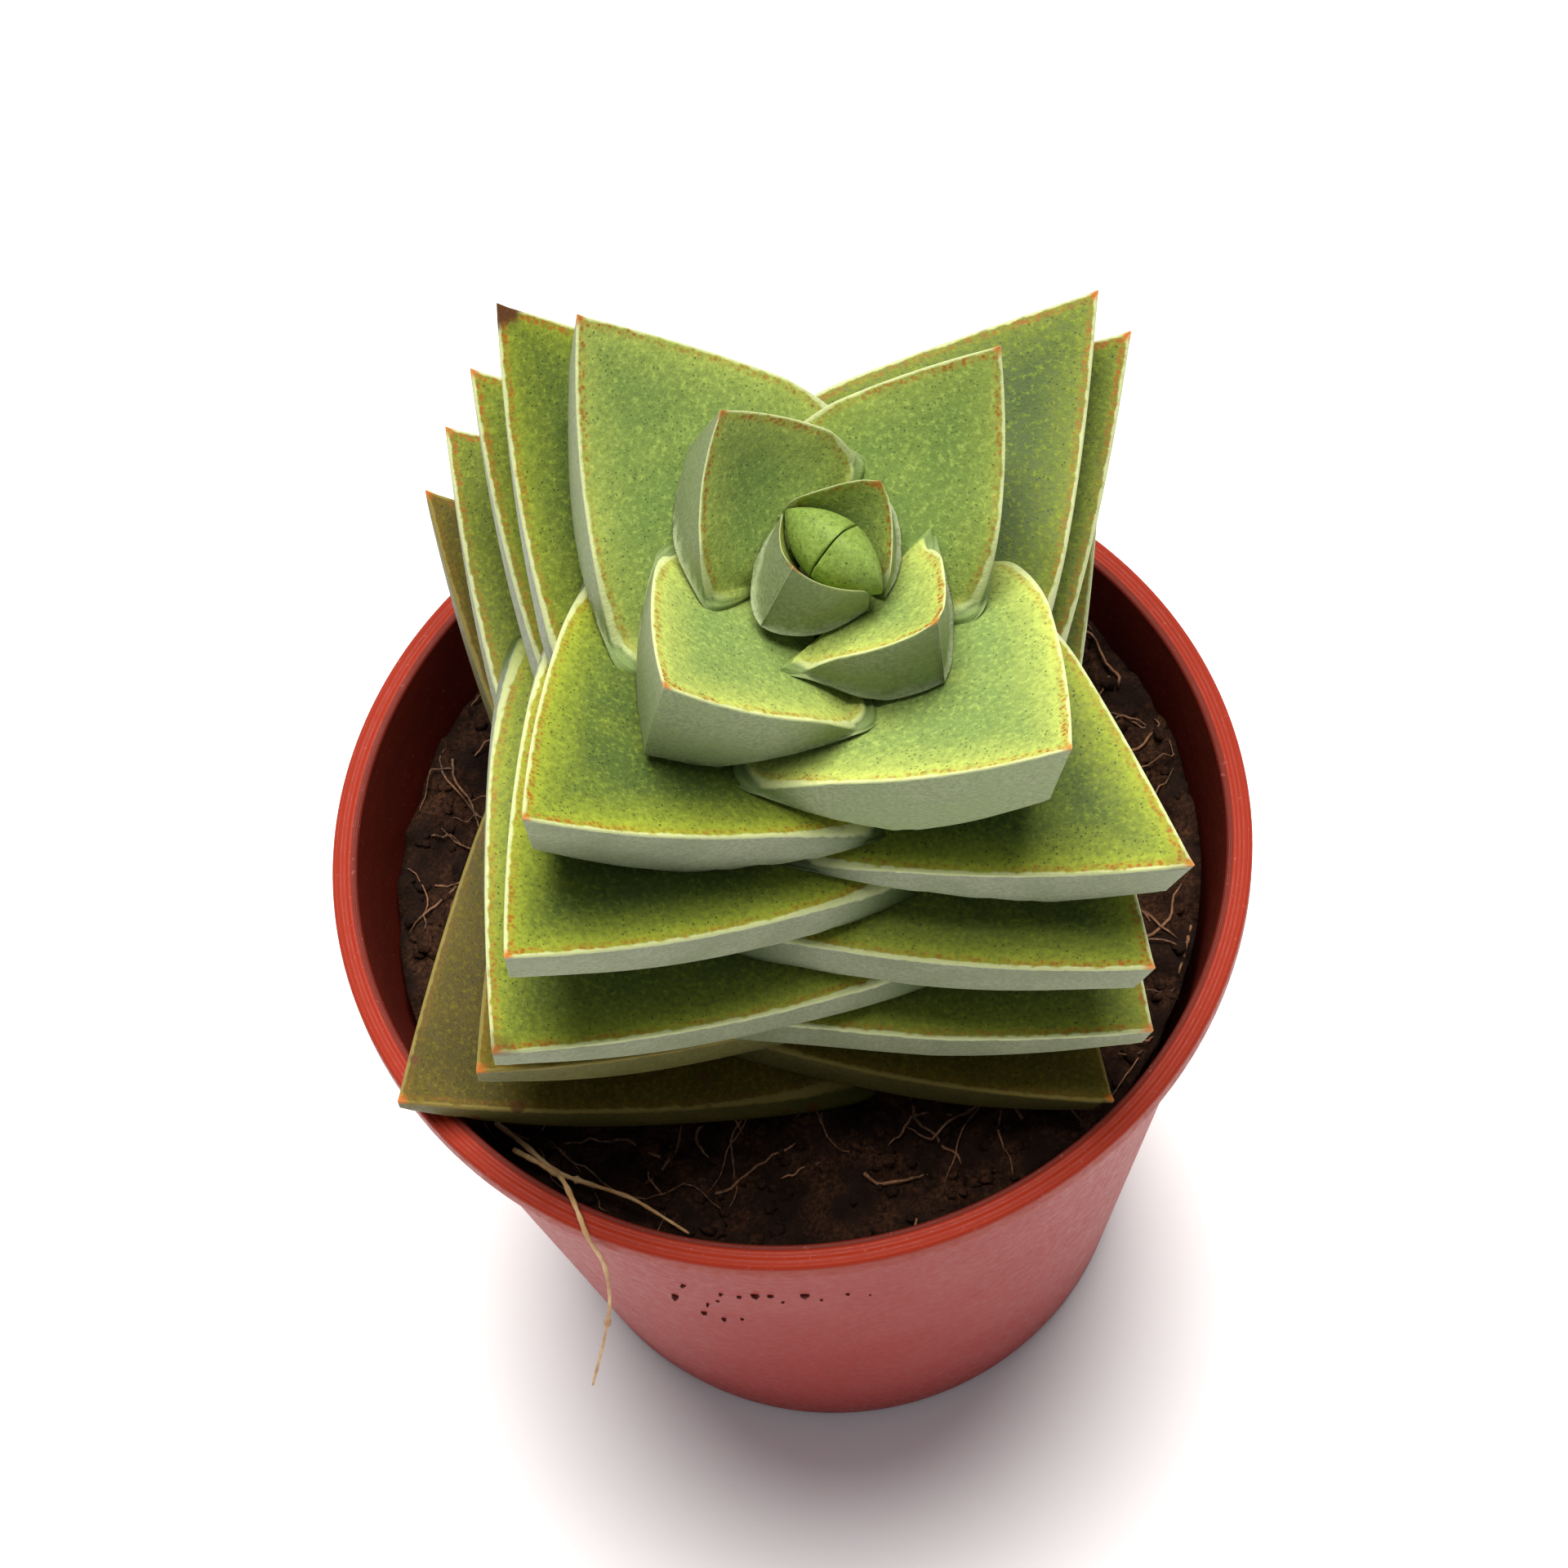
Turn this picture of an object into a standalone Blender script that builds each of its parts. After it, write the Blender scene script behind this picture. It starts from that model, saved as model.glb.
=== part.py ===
"""Potted succulent: a square column of stacked fleshy leaf pairs in a thin plastic nursery pot.

Metres, +Z up.  The origin is the centre of the pot's underside.
Every leaf, the stem, the potting mix, the pot and each loose root is its own body.
"""

import bpy
import numpy as np

MM = 0.001

# ---------------------------------------------------------------- pot, millimetres
POT_HEIGHT = 49.0
RIM_RADIUS = 27.5
BASE_RADIUS = 19.3
WALL = 0.8
BASE_THICKNESS = 1.0
LIP_HEIGHT = 1.5
LIP_OVERHANG = 0.75
LIP_ROUND = 0.25
FOOT_ROUND = 0.6
POT_SEGMENTS = 64
HOLE_COUNT = 4
HOLE_RADIUS = 2.5
HOLE_CIRCLE_RADIUS = 12.0
HOLE_SEGMENTS = 20

# ---------------------------------------------------------------- potting mix, millimetres
SOIL_DEPTH_BELOW_RIM = 5.3
SOIL_SLOPE = 0.05
SOIL_LUMP = 0.7
SOIL_SEGMENTS = 48
SOIL_RINGS = 9
PIT_DEPTH = 3.0

# ---------------------------------------------------------------- stem, millimetres and degrees
GAP = 0.4
STEM_RADIUS = 1.7
STEM_TOP = 34.2
STEM_SEGMENTS = 16
STEM_FOOT = (-1.0, 0.45)
STEM_LEAN = (0.149, -0.102)
STEM_BOW = 0.9
BOW_SPAN = 40.0
RANK_AZIMUTH = 39.7

# ---------------------------------------------------------------- leaves, millimetres and degrees
# One row for each pair, youngest first: height of the pair on the stem above the rim, blade
# length, pitch where the blade leaves the stem, pitch at the tip, greatest half width, depth
# of the keel under the blade, depth of the keel at the tip, outward flare of the flanks,
# cupping of the blade, and the power that its margins taper by.
PAIRS = {
    2: (35.4, 5.3, 61, 71, 3.3, 7.0, 6.3, 15, 2.2, 2.4),
    3: (34.4, 9.3, 33, 62, 6.2, 8.6, 7.6, 12, 1.3, 1.5),
    4: (32.3, 13.7, 26, 49, 7.7, 9.6, 8.8, 4, 0.6, 1.35),
    5: (29.8, 18.5, 20, 44, 10.2, 9.4, 7.6, 1, 0.5, 1.3),
    6: (27.0, 22.8, 10, 34, 11.0, 9.4, 6.8, -9, 0.4, 1.25),
    7: (24.5, 23.1, 5, 30, 11.6, 7.0, 5.2, -8, 0.3, 1.25),
    8: (22.2, 25.0, 3, 28, 12.2, 6.2, 4.8, -8, 0.3, 1.25),
    9: (18.9, 23.6, -1, 25, 12.6, 5.8, 4.2, -8, 0.3, 1.25),
    10: (15.3, 25.0, -4, 21, 14.4, 4.3, 2.7, -8, 0.2, 1.25),
    11: (11.6, 25.0, -6, 20, 14.6, 4.0, 2.4, -8, 0.2, 1.25),
    12: (7.8, 25.2, -7, 18, 13.4, 3.8, 1.9, -8, 0.2, 1.25),
    13: (3.7, 25.6, -8, 17, 12.4, 3.6, 1.5, -8, 0.2, 1.25),
    14: (0.4, 26.0, -10, 12, 14.6, 3.2, 1.1, -8, 0.2, 1.25),
}
# The four ranks, as quarter turns from the rank azimuth, and the pairs that stand in them.
RANKS = {"back_right": 0, "back_left": 1, "front_left": 2, "front_right": 3}
EVEN_RANKS = ("back_right", "front_left")
ODD_RANKS = ("back_left", "front_right")
# Leaves that differ from their pair: extra length, extra pitch, twist, width factor.
VARIATION = {
    (2, "back_right"): (-0.15, -3, 4, 1.05),
    (2, "front_left"): (0.0, 3.5, -3, 1.0),
    (3, "back_left"): (0.8, 5, -1, 1.0),
    (3, "front_right"): (-2.0, 0, -1, 1.0),
    (4, "back_right"): (1.0, 3, 3, 0.98),
    (4, "front_left"): (0.2, 2, -1, 1.0),
    (5, "back_left"): (0.4, 0, 0, 1.0),
    (5, "front_right"): (0.0, 7, -4, 1.03),
    (6, "front_left"): (-0.3, 7, -3, 1.0),
    (6, "back_right"): (0.2, -13, 3, 1.0),
    (7, "front_right"): (0.0, -4, 6, 0.96),
    (7, "back_left"): (0.2, 3, -1, 1.05),
    (8, "front_left"): (0.3, 3, 4, 1.03),
    (8, "back_right"): (-0.5, -2, -2, 0.97),
    (9, "front_right"): (0.5, -3, -1, 1.08),
    (9, "back_left"): (0.1, -1, 0, 0.93),
    (10, "front_left"): (0.3, -3, 5, 1.08),
    (11, "front_right"): (0.0, -3, 1, 1.1),
    (11, "back_left"): (0.2, -1, 0, 0.93),
    (12, "front_left"): (-1.0, -1, 1, 1.0),
    (13, "front_right"): (-0.7, -1, -2, 1.05),
    (13, "back_left"): (0.7, 1, 1, 0.92),
    (14, "front_left"): (0.2, 1, -8, 1.05),
    (14, "back_right"): (-2.8, 3, 2, 0.95),
}
BLADE_START = STEM_RADIUS + GAP
YOUNG_BLADE_START = 1.4
YOUNG_LEAST_REACH = 0.35
SHOULDER = 0.12
BASE_WIDTH = 0.62
TIP_HALF_WIDTH = 0.25
CLASP = 0.45
SHOULDER_DROOP = 0.55
SHOULDER_THINNING = 0.85
LEAST_THICKNESS = 0.5
FOOTPRINT_MARGIN = 1.5
ROWS = np.array([0.0, 0.06, 0.14, 0.25, 0.38, 0.52, 0.66, 0.79, 0.9, 0.97, 1.0])
# Round a leaf: side position as a share of the half width, and share of the keel depth.
FACE_COLUMNS = 5
COLUMNS = np.array([1.0, 0.5, 0.0, -0.5, -1.0, -1.0, -0.96, -0.8, -0.45, 0.0, 0.45, 0.8, 0.96, 1.0])
DEPTHS = np.array([0.0, 0.0, 0.0, 0.0, 0.0, 0.4, 0.8, 0.93, 0.985, 1.0, 0.985, 0.93, 0.8, 0.4])

# ---------------------------------------------------------------- bud, millimetres
BUD_HEIGHTS = np.array([35.1, 35.5, 36.1, 36.9, 37.7, 38.4, 39.0, 39.4])
BUD_OUT_RADII = np.array([0.6, 1.1, 1.7, 2.3, 2.6, 2.4, 1.7, 0.8])
BUD_SIDE_RADII = np.array([0.6, 1.0, 1.4, 1.75, 1.85, 1.75, 1.3, 0.6])
BUD_SLIT = 0.16
BUD_SEGMENTS = 10

# ---------------------------------------------------------------- loose roots, millimetres
ROOT_RADIUS = 0.15
HANGING_ROOT = (
    (-18.9, -15.3, 44.5), (-17.6, -16.6, 45.2), (-16.7, -17.8, 46.2), (-16.0, -19.4, 48.6),
    (-15.5, -21.1, 49.7), (-15.2, -22.3, 49.75), (-14.9, -23.5, 49.3), (-14.4, -24.0, 46.1),
    (-14.6, -24.1, 41.8), (-15.1, -24.0, 37.9), (-15.9, -23.9, 33.4), (-17.4, -23.5, 25.6),
)
LYING_ROOT = (
    (-19.8, -13.3, 44.3), (-18.3, -15.0, 44.4), (-16.6, -17.1, 44.6), (-14.9, -18.2, 44.7),
    (-12.6, -19.6, 45.0), (-11.2, -20.7, 44.8), (-9.4, -22.3, 44.6),
)


def clear_scene():
    """Remove every object, so the part starts from nothing."""
    for old in list(bpy.data.objects):
        bpy.data.objects.remove(old, do_unlink=True)


def make_material(name, colour, roughness, metallic=0.0):
    """Return a plain surface of one colour."""
    material = bpy.data.materials.new(name)
    material.use_nodes = True
    shader = material.node_tree.nodes["Principled BSDF"]
    shader.inputs["Base Color"].default_value = (*colour, 1.0)
    shader.inputs["Roughness"].default_value = roughness
    shader.inputs["Metallic"].default_value = metallic
    return material


def add_mesh(name, points, faces, material, smooth=True):
    """Add one named body from points in millimetres and faces wound outward."""
    mesh = bpy.data.meshes.new(name)
    mesh.from_pydata((np.asarray(points) * MM).tolist(), [], faces)
    mesh.materials.append(material)
    mesh.polygons.foreach_set("use_smooth", [smooth] * len(mesh.polygons))
    mesh.update()
    body = bpy.data.objects.new(name, mesh)
    bpy.context.scene.collection.objects.link(body)
    return body


def loft_faces(rows, ring):
    """Quads between rows of ring points, with a face closing each end."""
    faces = []
    for row in range(rows - 1):
        for i in range(ring):
            j = (i + 1) % ring
            faces.append((row * ring + i, row * ring + j, (row + 1) * ring + j, (row + 1) * ring + i))
    faces.append(tuple(reversed(range(ring))))
    faces.append(tuple(range((rows - 1) * ring, rows * ring)))
    return faces


# ---------------------------------------------------------------- the plant's own frame
def plant_axes():
    """Unit vectors of the leaning stem: two across it and one along it."""
    along = np.array([STEM_LEAN[0], STEM_LEAN[1], 1.0])
    along /= np.linalg.norm(along)
    azimuth = np.radians(RANK_AZIMUTH)
    across = np.array([np.cos(azimuth), np.sin(azimuth), 0.0])
    across -= along * (across @ along)
    across /= np.linalg.norm(across)
    return across, np.cross(along, across), along


ACROSS, BESIDE, ALONG = plant_axes()


def to_world(x, y, h):
    """Take plant coordinates (two across the stem, one along it from the rim) to the world."""
    bow = STEM_BOW * 4.0 * (h / BOW_SPAN) * (1.0 - h / BOW_SPAN)
    foot = np.array([STEM_FOOT[0], STEM_FOOT[1], POT_HEIGHT])
    point = foot + x[..., None] * ACROSS + y[..., None] * BESIDE + h[..., None] * ALONG
    point[..., 1] += bow
    return point


def pot_inner_radius(z):
    """Inside radius of the pot wall at a height."""
    outer = BASE_RADIUS + (RIM_RADIUS - LIP_OVERHANG - BASE_RADIUS) * z / POT_HEIGHT
    return outer - WALL


def soil_height(x, y):
    """Height of the lumpy top of the potting mix."""
    lumps = np.sin(x * 0.61 + 1.3) * np.sin(y * 0.53 + 0.4) + 0.6 * np.sin(x * 1.17 - y * 0.83 + 2.0)
    return POT_HEIGHT - SOIL_DEPTH_BELOW_RIM + SOIL_SLOPE * x + SOIL_LUMP * lumps * 0.6


def ground_height(x, y, h):
    """Lowest height along the stem that clears the potting mix and the pot's rim."""
    world = to_world(x, y, h)
    radius = np.hypot(world[..., 0], world[..., 1])
    floor = soil_height(world[..., 0], world[..., 1]) + GAP
    rim = POT_HEIGHT + GAP
    floor = np.where(radius > RIM_RADIUS - LIP_OVERHANG - WALL - 1.0, np.maximum(floor, rim), floor)
    return (floor - POT_HEIGHT - x * ACROSS[2] - y * BESIDE[2]) / ALONG[2]


# ---------------------------------------------------------------- leaves
def leaf_list():
    """Every leaf below the bud, oldest first."""
    leaves = []
    for pair in sorted(PAIRS, reverse=True):
        node, length, pitch_in, pitch_out, width, keel, keel_tip, flare, cup, taper = PAIRS[pair]
        for rank in EVEN_RANKS if pair % 2 == 0 else ODD_RANKS:
            longer, steeper, twist, wider = VARIATION.get((pair, rank), (0.0, 0.0, 0.0, 1.0))
            start = YOUNG_BLADE_START if pair == 2 else BLADE_START
            along = np.linspace(0.0, 1.0, 41)
            pitch = np.radians(pitch_in + 0.6 * steeper + (pitch_out + 0.4 * steeper - pitch_in) * along)
            step = (length + longer) / 40.0
            middle = (pitch[1:] + pitch[:-1]) / 2.0
            reach = start + np.concatenate([[0.0], np.cumsum(np.cos(middle))]) * step
            rise = node + np.concatenate([[0.0], np.cumsum(np.sin(middle))]) * step
            turn = np.radians(90.0 * RANKS[rank] + twist)
            leaves.append({
                "name": f"leaf_{pair:02d}_{rank}", "pair": pair, "along": along, "pitch": pitch,
                "reach": reach, "rise": rise, "turn": turn, "half_width": width * wider,
                "keel": keel, "keel_tip": keel_tip, "flare": np.radians(flare), "cup": cup,
                "taper": taper, "least_reach": YOUNG_LEAST_REACH if pair == 2 else start,
            })
    return leaves


def half_width(leaf, s):
    """Half width of a blade: rounded shoulders near the stem, gently curved sides to the tip."""
    outer = np.clip((s - SHOULDER) / (1.0 - SHOULDER), 0.0, 1.0)
    inner = np.clip(s / SHOULDER, 0.0, 1.0)
    sides = 1.0 - outer ** leaf["taper"]
    shoulder = BASE_WIDTH + (1.0 - BASE_WIDTH) * np.sqrt(1.0 - (1.0 - inner) ** 2)
    return np.maximum(leaf["half_width"] * sides * shoulder, TIP_HALF_WIDTH)


def near_stem(s):
    """One at the stem, fading to nothing where the blade comes clear of its neighbours."""
    return np.clip(1.0 - s / CLASP, 0.0, 1.0) ** 1.5


def own_height(leaf, out, side):
    """Height of a blade's upper face: its arc, and what the cupping adds beside the middle."""
    arc = np.interp(out, leaf["reach"], leaf["rise"])
    pitch = np.interp(out, leaf["reach"], leaf["pitch"])
    across = np.clip(side / leaf["half_width"], 0.0, 1.0)
    return arc + leaf["cup"] * across ** 2 / np.cos(pitch)


def floor_under(leaf, leaves, x, y, h):
    """Height that clears the ground and every older leaf at points across the stem."""
    floor = ground_height(x, y, h)
    pairs = sorted({other["pair"] for other in leaves if other["pair"] > leaf["pair"]}, reverse=True)
    for pair in pairs:
        tops = np.full(x.shape, -1000.0)
        for other in leaves:
            if other["pair"] != pair:
                continue
            c, s = np.cos(other["turn"]), np.sin(other["turn"])
            out = x * c + y * s
            side = np.abs(y * c - x * s)
            own = own_height(other, out, side)
            place = np.interp(out, other["reach"], other["along"])
            inside = (side < half_width(other, place) + FOOTPRINT_MARGIN) & (out < other["reach"][-1] + 1.0)
            top = np.where(inside, np.maximum(own, floor + LEAST_THICKNESS), own)
            tops = np.where(out > -BLADE_START / 2.0, np.maximum(tops, top), tops)
        floor = np.maximum(floor, tops + GAP)
    return floor


def leaf_points(leaf, leaves):
    """Rings of points from the stem to the tip: across the upper face, then back underneath."""
    s = ROWS[:, None]
    reach = np.interp(s, leaf["along"], leaf["reach"])
    rise = np.interp(s, leaf["along"], leaf["rise"])
    pitch = np.interp(s, leaf["along"], leaf["pitch"])
    side = half_width(leaf, s) * COLUMNS
    lift = leaf["cup"] * (side / leaf["half_width"]) ** 2
    droop = SHOULDER_DROOP * leaf["keel"] * near_stem(s) * np.abs(COLUMNS) ** 3
    blade = rise + lift * np.cos(pitch) - droop

    inward = np.clip((1.0 - s) / 0.35, 0.0, 1.0)
    keel = leaf["keel_tip"] + (leaf["keel"] - leaf["keel_tip"]) * (1.0 - (1.0 - inward) ** 2)
    depth = keel * DEPTHS * (1.0 - SHOULDER_THINNING * near_stem(s) * np.abs(COLUMNS))
    out = reach - lift * np.sin(pitch) + depth * np.sin(leaf["flare"]) * np.clip(s * 2.0, 0.0, 1.0)
    out = np.maximum(out, leaf["least_reach"])

    x = out * np.cos(leaf["turn"]) - side * np.sin(leaf["turn"])
    y = out * np.sin(leaf["turn"]) + side * np.cos(leaf["turn"])
    floor = floor_under(leaf, leaves, x, y, blade)
    h = np.maximum(blade, floor + LEAST_THICKNESS)
    below = slice(FACE_COLUMNS, None)
    low = (blade - depth * np.cos(leaf["flare"]))[:, below]
    h[:, below] = np.clip(low, floor[:, below], h[:, below] - LEAST_THICKNESS * 0.8)
    return to_world(x, y, h)


def add_leaf(leaf, leaves, material):
    """Add one fleshy leaf: a broad pointed blade with steep flanks and a keel beneath."""
    points = leaf_points(leaf, leaves)
    rows, ring = points.shape[:2]
    return add_mesh(leaf["name"], points.reshape(-1, 3), loft_faces(rows, ring), material)


def bud_points(turn):
    """Rings of half an egg, longer across the slit than along it, with a flat inner face."""
    angle = np.linspace(-np.pi / 2.0, np.pi / 2.0, BUD_SEGMENTS + 1)
    out = BUD_SLIT + (BUD_OUT_RADII[:, None] - BUD_SLIT) * np.cos(angle)
    side = BUD_SIDE_RADII[:, None] * np.sin(angle)
    x = out * np.cos(turn) - side * np.sin(turn)
    y = out * np.sin(turn) + side * np.cos(turn)
    return to_world(x, y, np.broadcast_to(BUD_HEIGHTS[:, None], x.shape))


def add_bud_leaf(name, turn, material):
    """Add one half of the closed bud."""
    points = bud_points(turn)
    rows, ring = points.shape[:2]
    return add_mesh(name, points.reshape(-1, 3), loft_faces(rows, ring), material)


# ---------------------------------------------------------------- stem, soil, pot, roots
def add_stem(material):
    """Add the stem, which leans, bows a little and narrows towards the bud."""
    heights = np.array([-SOIL_DEPTH_BELOW_RIM - 2.0, 0.0, 10.0, 20.0, 28.0, 33.0, STEM_TOP])
    radii = STEM_RADIUS * np.array([1.0, 1.0, 1.0, 0.98, 0.95, 0.9, 0.45])
    angle = np.arange(STEM_SEGMENTS) * 2.0 * np.pi / STEM_SEGMENTS
    x = radii[:, None] * np.cos(angle)
    y = radii[:, None] * np.sin(angle)
    points = to_world(x, y, np.broadcast_to(heights[:, None], x.shape))
    return add_mesh("stem", points.reshape(-1, 3), loft_faces(len(heights), STEM_SEGMENTS), material)


def add_soil(material):
    """Add the potting mix: fills the pot, lumpy on top, with a pit the stem stands in."""
    foot = to_world(np.array([0.0]), np.array([0.0]), np.array([-SOIL_DEPTH_BELOW_RIM]))[0]
    angle = np.arange(SOIL_SEGMENTS) * 2.0 * np.pi / SOIL_SEGMENTS
    direction = np.stack([np.cos(angle), np.sin(angle)], axis=1)
    bottom = BASE_THICKNESS + GAP
    top_level = POT_HEIGHT - SOIL_DEPTH_BELOW_RIM
    outer = direction * (pot_inner_radius(top_level - 1.5) - GAP)
    pit = np.array([foot[0], foot[1]]) + direction * (STEM_RADIUS + 2.0 * GAP)
    rings = []
    low = direction * (pot_inner_radius(bottom) - GAP)
    rings.append(np.column_stack([low, np.full(SOIL_SEGMENTS, bottom)]))
    for blend in np.linspace(0.0, 1.0, SOIL_RINGS):
        ring = outer * (1.0 - blend) + pit * blend
        rings.append(np.column_stack([ring, soil_height(ring[:, 0], ring[:, 1])]))
    rings.append(np.column_stack([pit, np.full(SOIL_SEGMENTS, top_level - PIT_DEPTH)]))
    points = np.concatenate(rings)
    faces = loft_faces(len(rings), SOIL_SEGMENTS)
    return add_mesh("potting_mix", points, faces, material)


def add_pot(material):
    """Add the thin tapered pot: a turned shell with a lip and drainage holes in its base."""
    wall_top = RIM_RADIUS - LIP_OVERHANG
    slope = (wall_top - BASE_RADIUS) / POT_HEIGHT
    under_lip = POT_HEIGHT - LIP_HEIGHT
    profile = [
        (BASE_RADIUS - FOOT_ROUND, 0.0),
        (BASE_RADIUS, FOOT_ROUND),
        (BASE_RADIUS + slope * under_lip, under_lip),
        (RIM_RADIUS - LIP_ROUND, under_lip),
        (RIM_RADIUS, under_lip + LIP_ROUND),
        (RIM_RADIUS, POT_HEIGHT - LIP_ROUND),
        (RIM_RADIUS - LIP_ROUND, POT_HEIGHT),
        (pot_inner_radius(POT_HEIGHT) + LIP_ROUND, POT_HEIGHT),
        (pot_inner_radius(POT_HEIGHT), POT_HEIGHT - LIP_ROUND),
        (pot_inner_radius(BASE_THICKNESS), BASE_THICKNESS),
    ]
    angle = np.arange(POT_SEGMENTS) * 2.0 * np.pi / POT_SEGMENTS
    points = np.concatenate([
        np.column_stack([r * np.cos(angle), r * np.sin(angle), np.full(POT_SEGMENTS, z)])
        for r, z in profile
    ])
    pot = add_mesh("pot", points, loft_faces(len(profile), POT_SEGMENTS), material)
    for number in range(HOLE_COUNT):
        drill_hole(pot, number)
    return pot


def drill_hole(pot, number):
    """Cut one round drainage hole through the base."""
    around = (number + 0.5) * 2.0 * np.pi / HOLE_COUNT
    angle = np.arange(HOLE_SEGMENTS) * 2.0 * np.pi / HOLE_SEGMENTS
    x = HOLE_CIRCLE_RADIUS * np.cos(around) + HOLE_RADIUS * np.cos(angle)
    y = HOLE_CIRCLE_RADIUS * np.sin(around) + HOLE_RADIUS * np.sin(angle)
    low = np.column_stack([x, y, np.full(HOLE_SEGMENTS, -1.0)])
    high = np.column_stack([x, y, np.full(HOLE_SEGMENTS, BASE_THICKNESS + 1.0)])
    cutter = add_mesh(
        f"hole_cutter_{number}", np.concatenate([low, high]),
        loft_faces(2, HOLE_SEGMENTS), pot.data.materials[0], smooth=False,
    )
    cutter.hide_render = True
    cutter.display_type = "WIRE"
    cut = pot.modifiers.new(f"drainage_hole_{number}", "BOOLEAN")
    cut.operation = "DIFFERENCE"
    cut.solver = "EXACT"
    cut.object = cutter


def add_root(name, path, material):
    """Add one thin dry root along a path."""
    curve = bpy.data.curves.new(name, "CURVE")
    curve.dimensions = "3D"
    curve.bevel_depth = ROOT_RADIUS * MM
    curve.bevel_resolution = 2
    curve.use_fill_caps = True
    curve.render_resolution_u = 0
    spline = curve.splines.new("POLY")
    spline.points.add(len(path) - 1)
    for point, place in zip(spline.points, path):
        point.co = (*(value * MM for value in place), 1.0)
    curve.materials.append(material)
    root = bpy.data.objects.new(name, curve)
    bpy.context.scene.collection.objects.link(root)
    return root


def build():
    """Build the pot, the potting mix, the stem, the leaves, the bud and the loose roots."""
    clear_scene()
    add_pot(make_material("pot_plastic", (0.55, 0.1, 0.045), 0.45))
    add_soil(make_material("potting_mix", (0.05, 0.03, 0.02), 0.95))
    add_stem(make_material("stem_skin", (0.25, 0.22, 0.1), 0.7))
    leaves = leaf_list()
    for leaf in leaves:
        age = (leaf["pair"] - 2) / 12.0
        colour = (0.2 + 0.1 * age, 0.32 - 0.06 * age, 0.1 - 0.05 * age)
        add_leaf(leaf, leaves, make_material(leaf["name"], colour, 0.55))
    for rank in ODD_RANKS:
        name = f"leaf_01_{rank}"
        turn = np.radians(90.0 * RANKS[rank])
        add_bud_leaf(name, turn, make_material(name, (0.24, 0.4, 0.12), 0.5))
    root_skin = make_material("dry_root", (0.45, 0.27, 0.12), 0.8)
    add_root("loose_root_over_rim", HANGING_ROOT, root_skin)
    add_root("loose_root_on_soil", LYING_ROOT, root_skin.copy())


build()
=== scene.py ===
"""Finished surfaces of a potted succulent: pot, potting mix, stem, stacked leaves, bud and loose roots.

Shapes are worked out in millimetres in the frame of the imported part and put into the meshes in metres.
"""

import bpy
import numpy as np
from mathutils import Matrix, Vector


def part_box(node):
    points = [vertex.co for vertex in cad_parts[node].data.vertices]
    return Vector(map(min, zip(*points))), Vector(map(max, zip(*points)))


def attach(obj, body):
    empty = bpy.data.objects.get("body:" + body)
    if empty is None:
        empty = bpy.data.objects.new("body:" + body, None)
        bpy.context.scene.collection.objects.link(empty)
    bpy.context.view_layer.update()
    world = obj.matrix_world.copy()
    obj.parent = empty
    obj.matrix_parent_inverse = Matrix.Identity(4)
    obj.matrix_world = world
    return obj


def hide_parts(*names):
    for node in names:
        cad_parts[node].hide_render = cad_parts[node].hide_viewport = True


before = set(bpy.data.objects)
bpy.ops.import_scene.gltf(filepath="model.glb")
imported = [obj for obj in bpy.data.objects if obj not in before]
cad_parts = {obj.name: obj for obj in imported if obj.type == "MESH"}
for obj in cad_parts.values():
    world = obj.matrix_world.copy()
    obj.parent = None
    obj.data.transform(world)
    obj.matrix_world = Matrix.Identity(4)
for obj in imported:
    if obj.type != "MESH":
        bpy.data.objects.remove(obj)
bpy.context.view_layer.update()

# ---------------------------------------------------------------- camera
# A long lens held high in front of the plant, rolled a little, aimed near the middle of the rim.
MM = 0.001
pot_low, pot_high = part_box("pot")
RIM_RADIUS = (pot_high.x - pot_low.x) / 2.0 / MM
RIM_HEIGHT = pot_high.z / MM
CAMERA_DISTANCE = 8.854 * RIM_RADIUS
CAMERA_ELEVATION, CAMERA_ROLL, CAMERA_YAW, CAMERA_TILT = np.radians([62.68, -9.17, 0.05, 0.73])
CAMERA_LENS = 93.75


def camera_matrix():
    """Looks back along the line of sight, swung by yaw and tilt, then rolled about that line."""
    back = np.array([0.0, -np.cos(CAMERA_ELEVATION), np.sin(CAMERA_ELEVATION)])
    right = np.array([1.0, 0.0, 0.0])
    up = np.cross(right, -back)
    sight = -back + np.tan(CAMERA_YAW) * right + np.tan(CAMERA_TILT) * up
    sight /= np.linalg.norm(sight)
    level = np.cross(sight, up)
    level /= np.linalg.norm(level)
    upright = np.cross(level, sight)
    c, s = np.cos(CAMERA_ROLL), np.sin(CAMERA_ROLL)
    matrix = np.eye(4)
    matrix[:3, 0] = c * level + s * upright
    matrix[:3, 1] = -s * level + c * upright
    matrix[:3, 2] = -sight
    matrix[:3, 3] = (back * CAMERA_DISTANCE + np.array([0.0, 0.0, RIM_HEIGHT])) * MM
    return Matrix(matrix.tolist())


lens = bpy.data.cameras.new("camera")
lens.lens = CAMERA_LENS
lens.sensor_width = 36.0
lens.clip_start = 0.01
camera = bpy.data.objects.new("camera", lens)
camera.matrix_world = camera_matrix()
bpy.context.scene.collection.objects.link(camera)
bpy.context.scene.camera = camera

# ---------------------------------------------------------------- studio
# White table, a soft bright light high behind the plant, and even white surroundings.
TABLE_SIZE = 3.0
KEY_STRENGTH = 5.8
KEY_SOFTNESS = 40.0
KEY_ELEVATION, KEY_AZIMUTH = 76.0, 6.0
SURROUND = (0.93, 0.96, 1.0)
SURROUND_STRENGTH = 0.29


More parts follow.
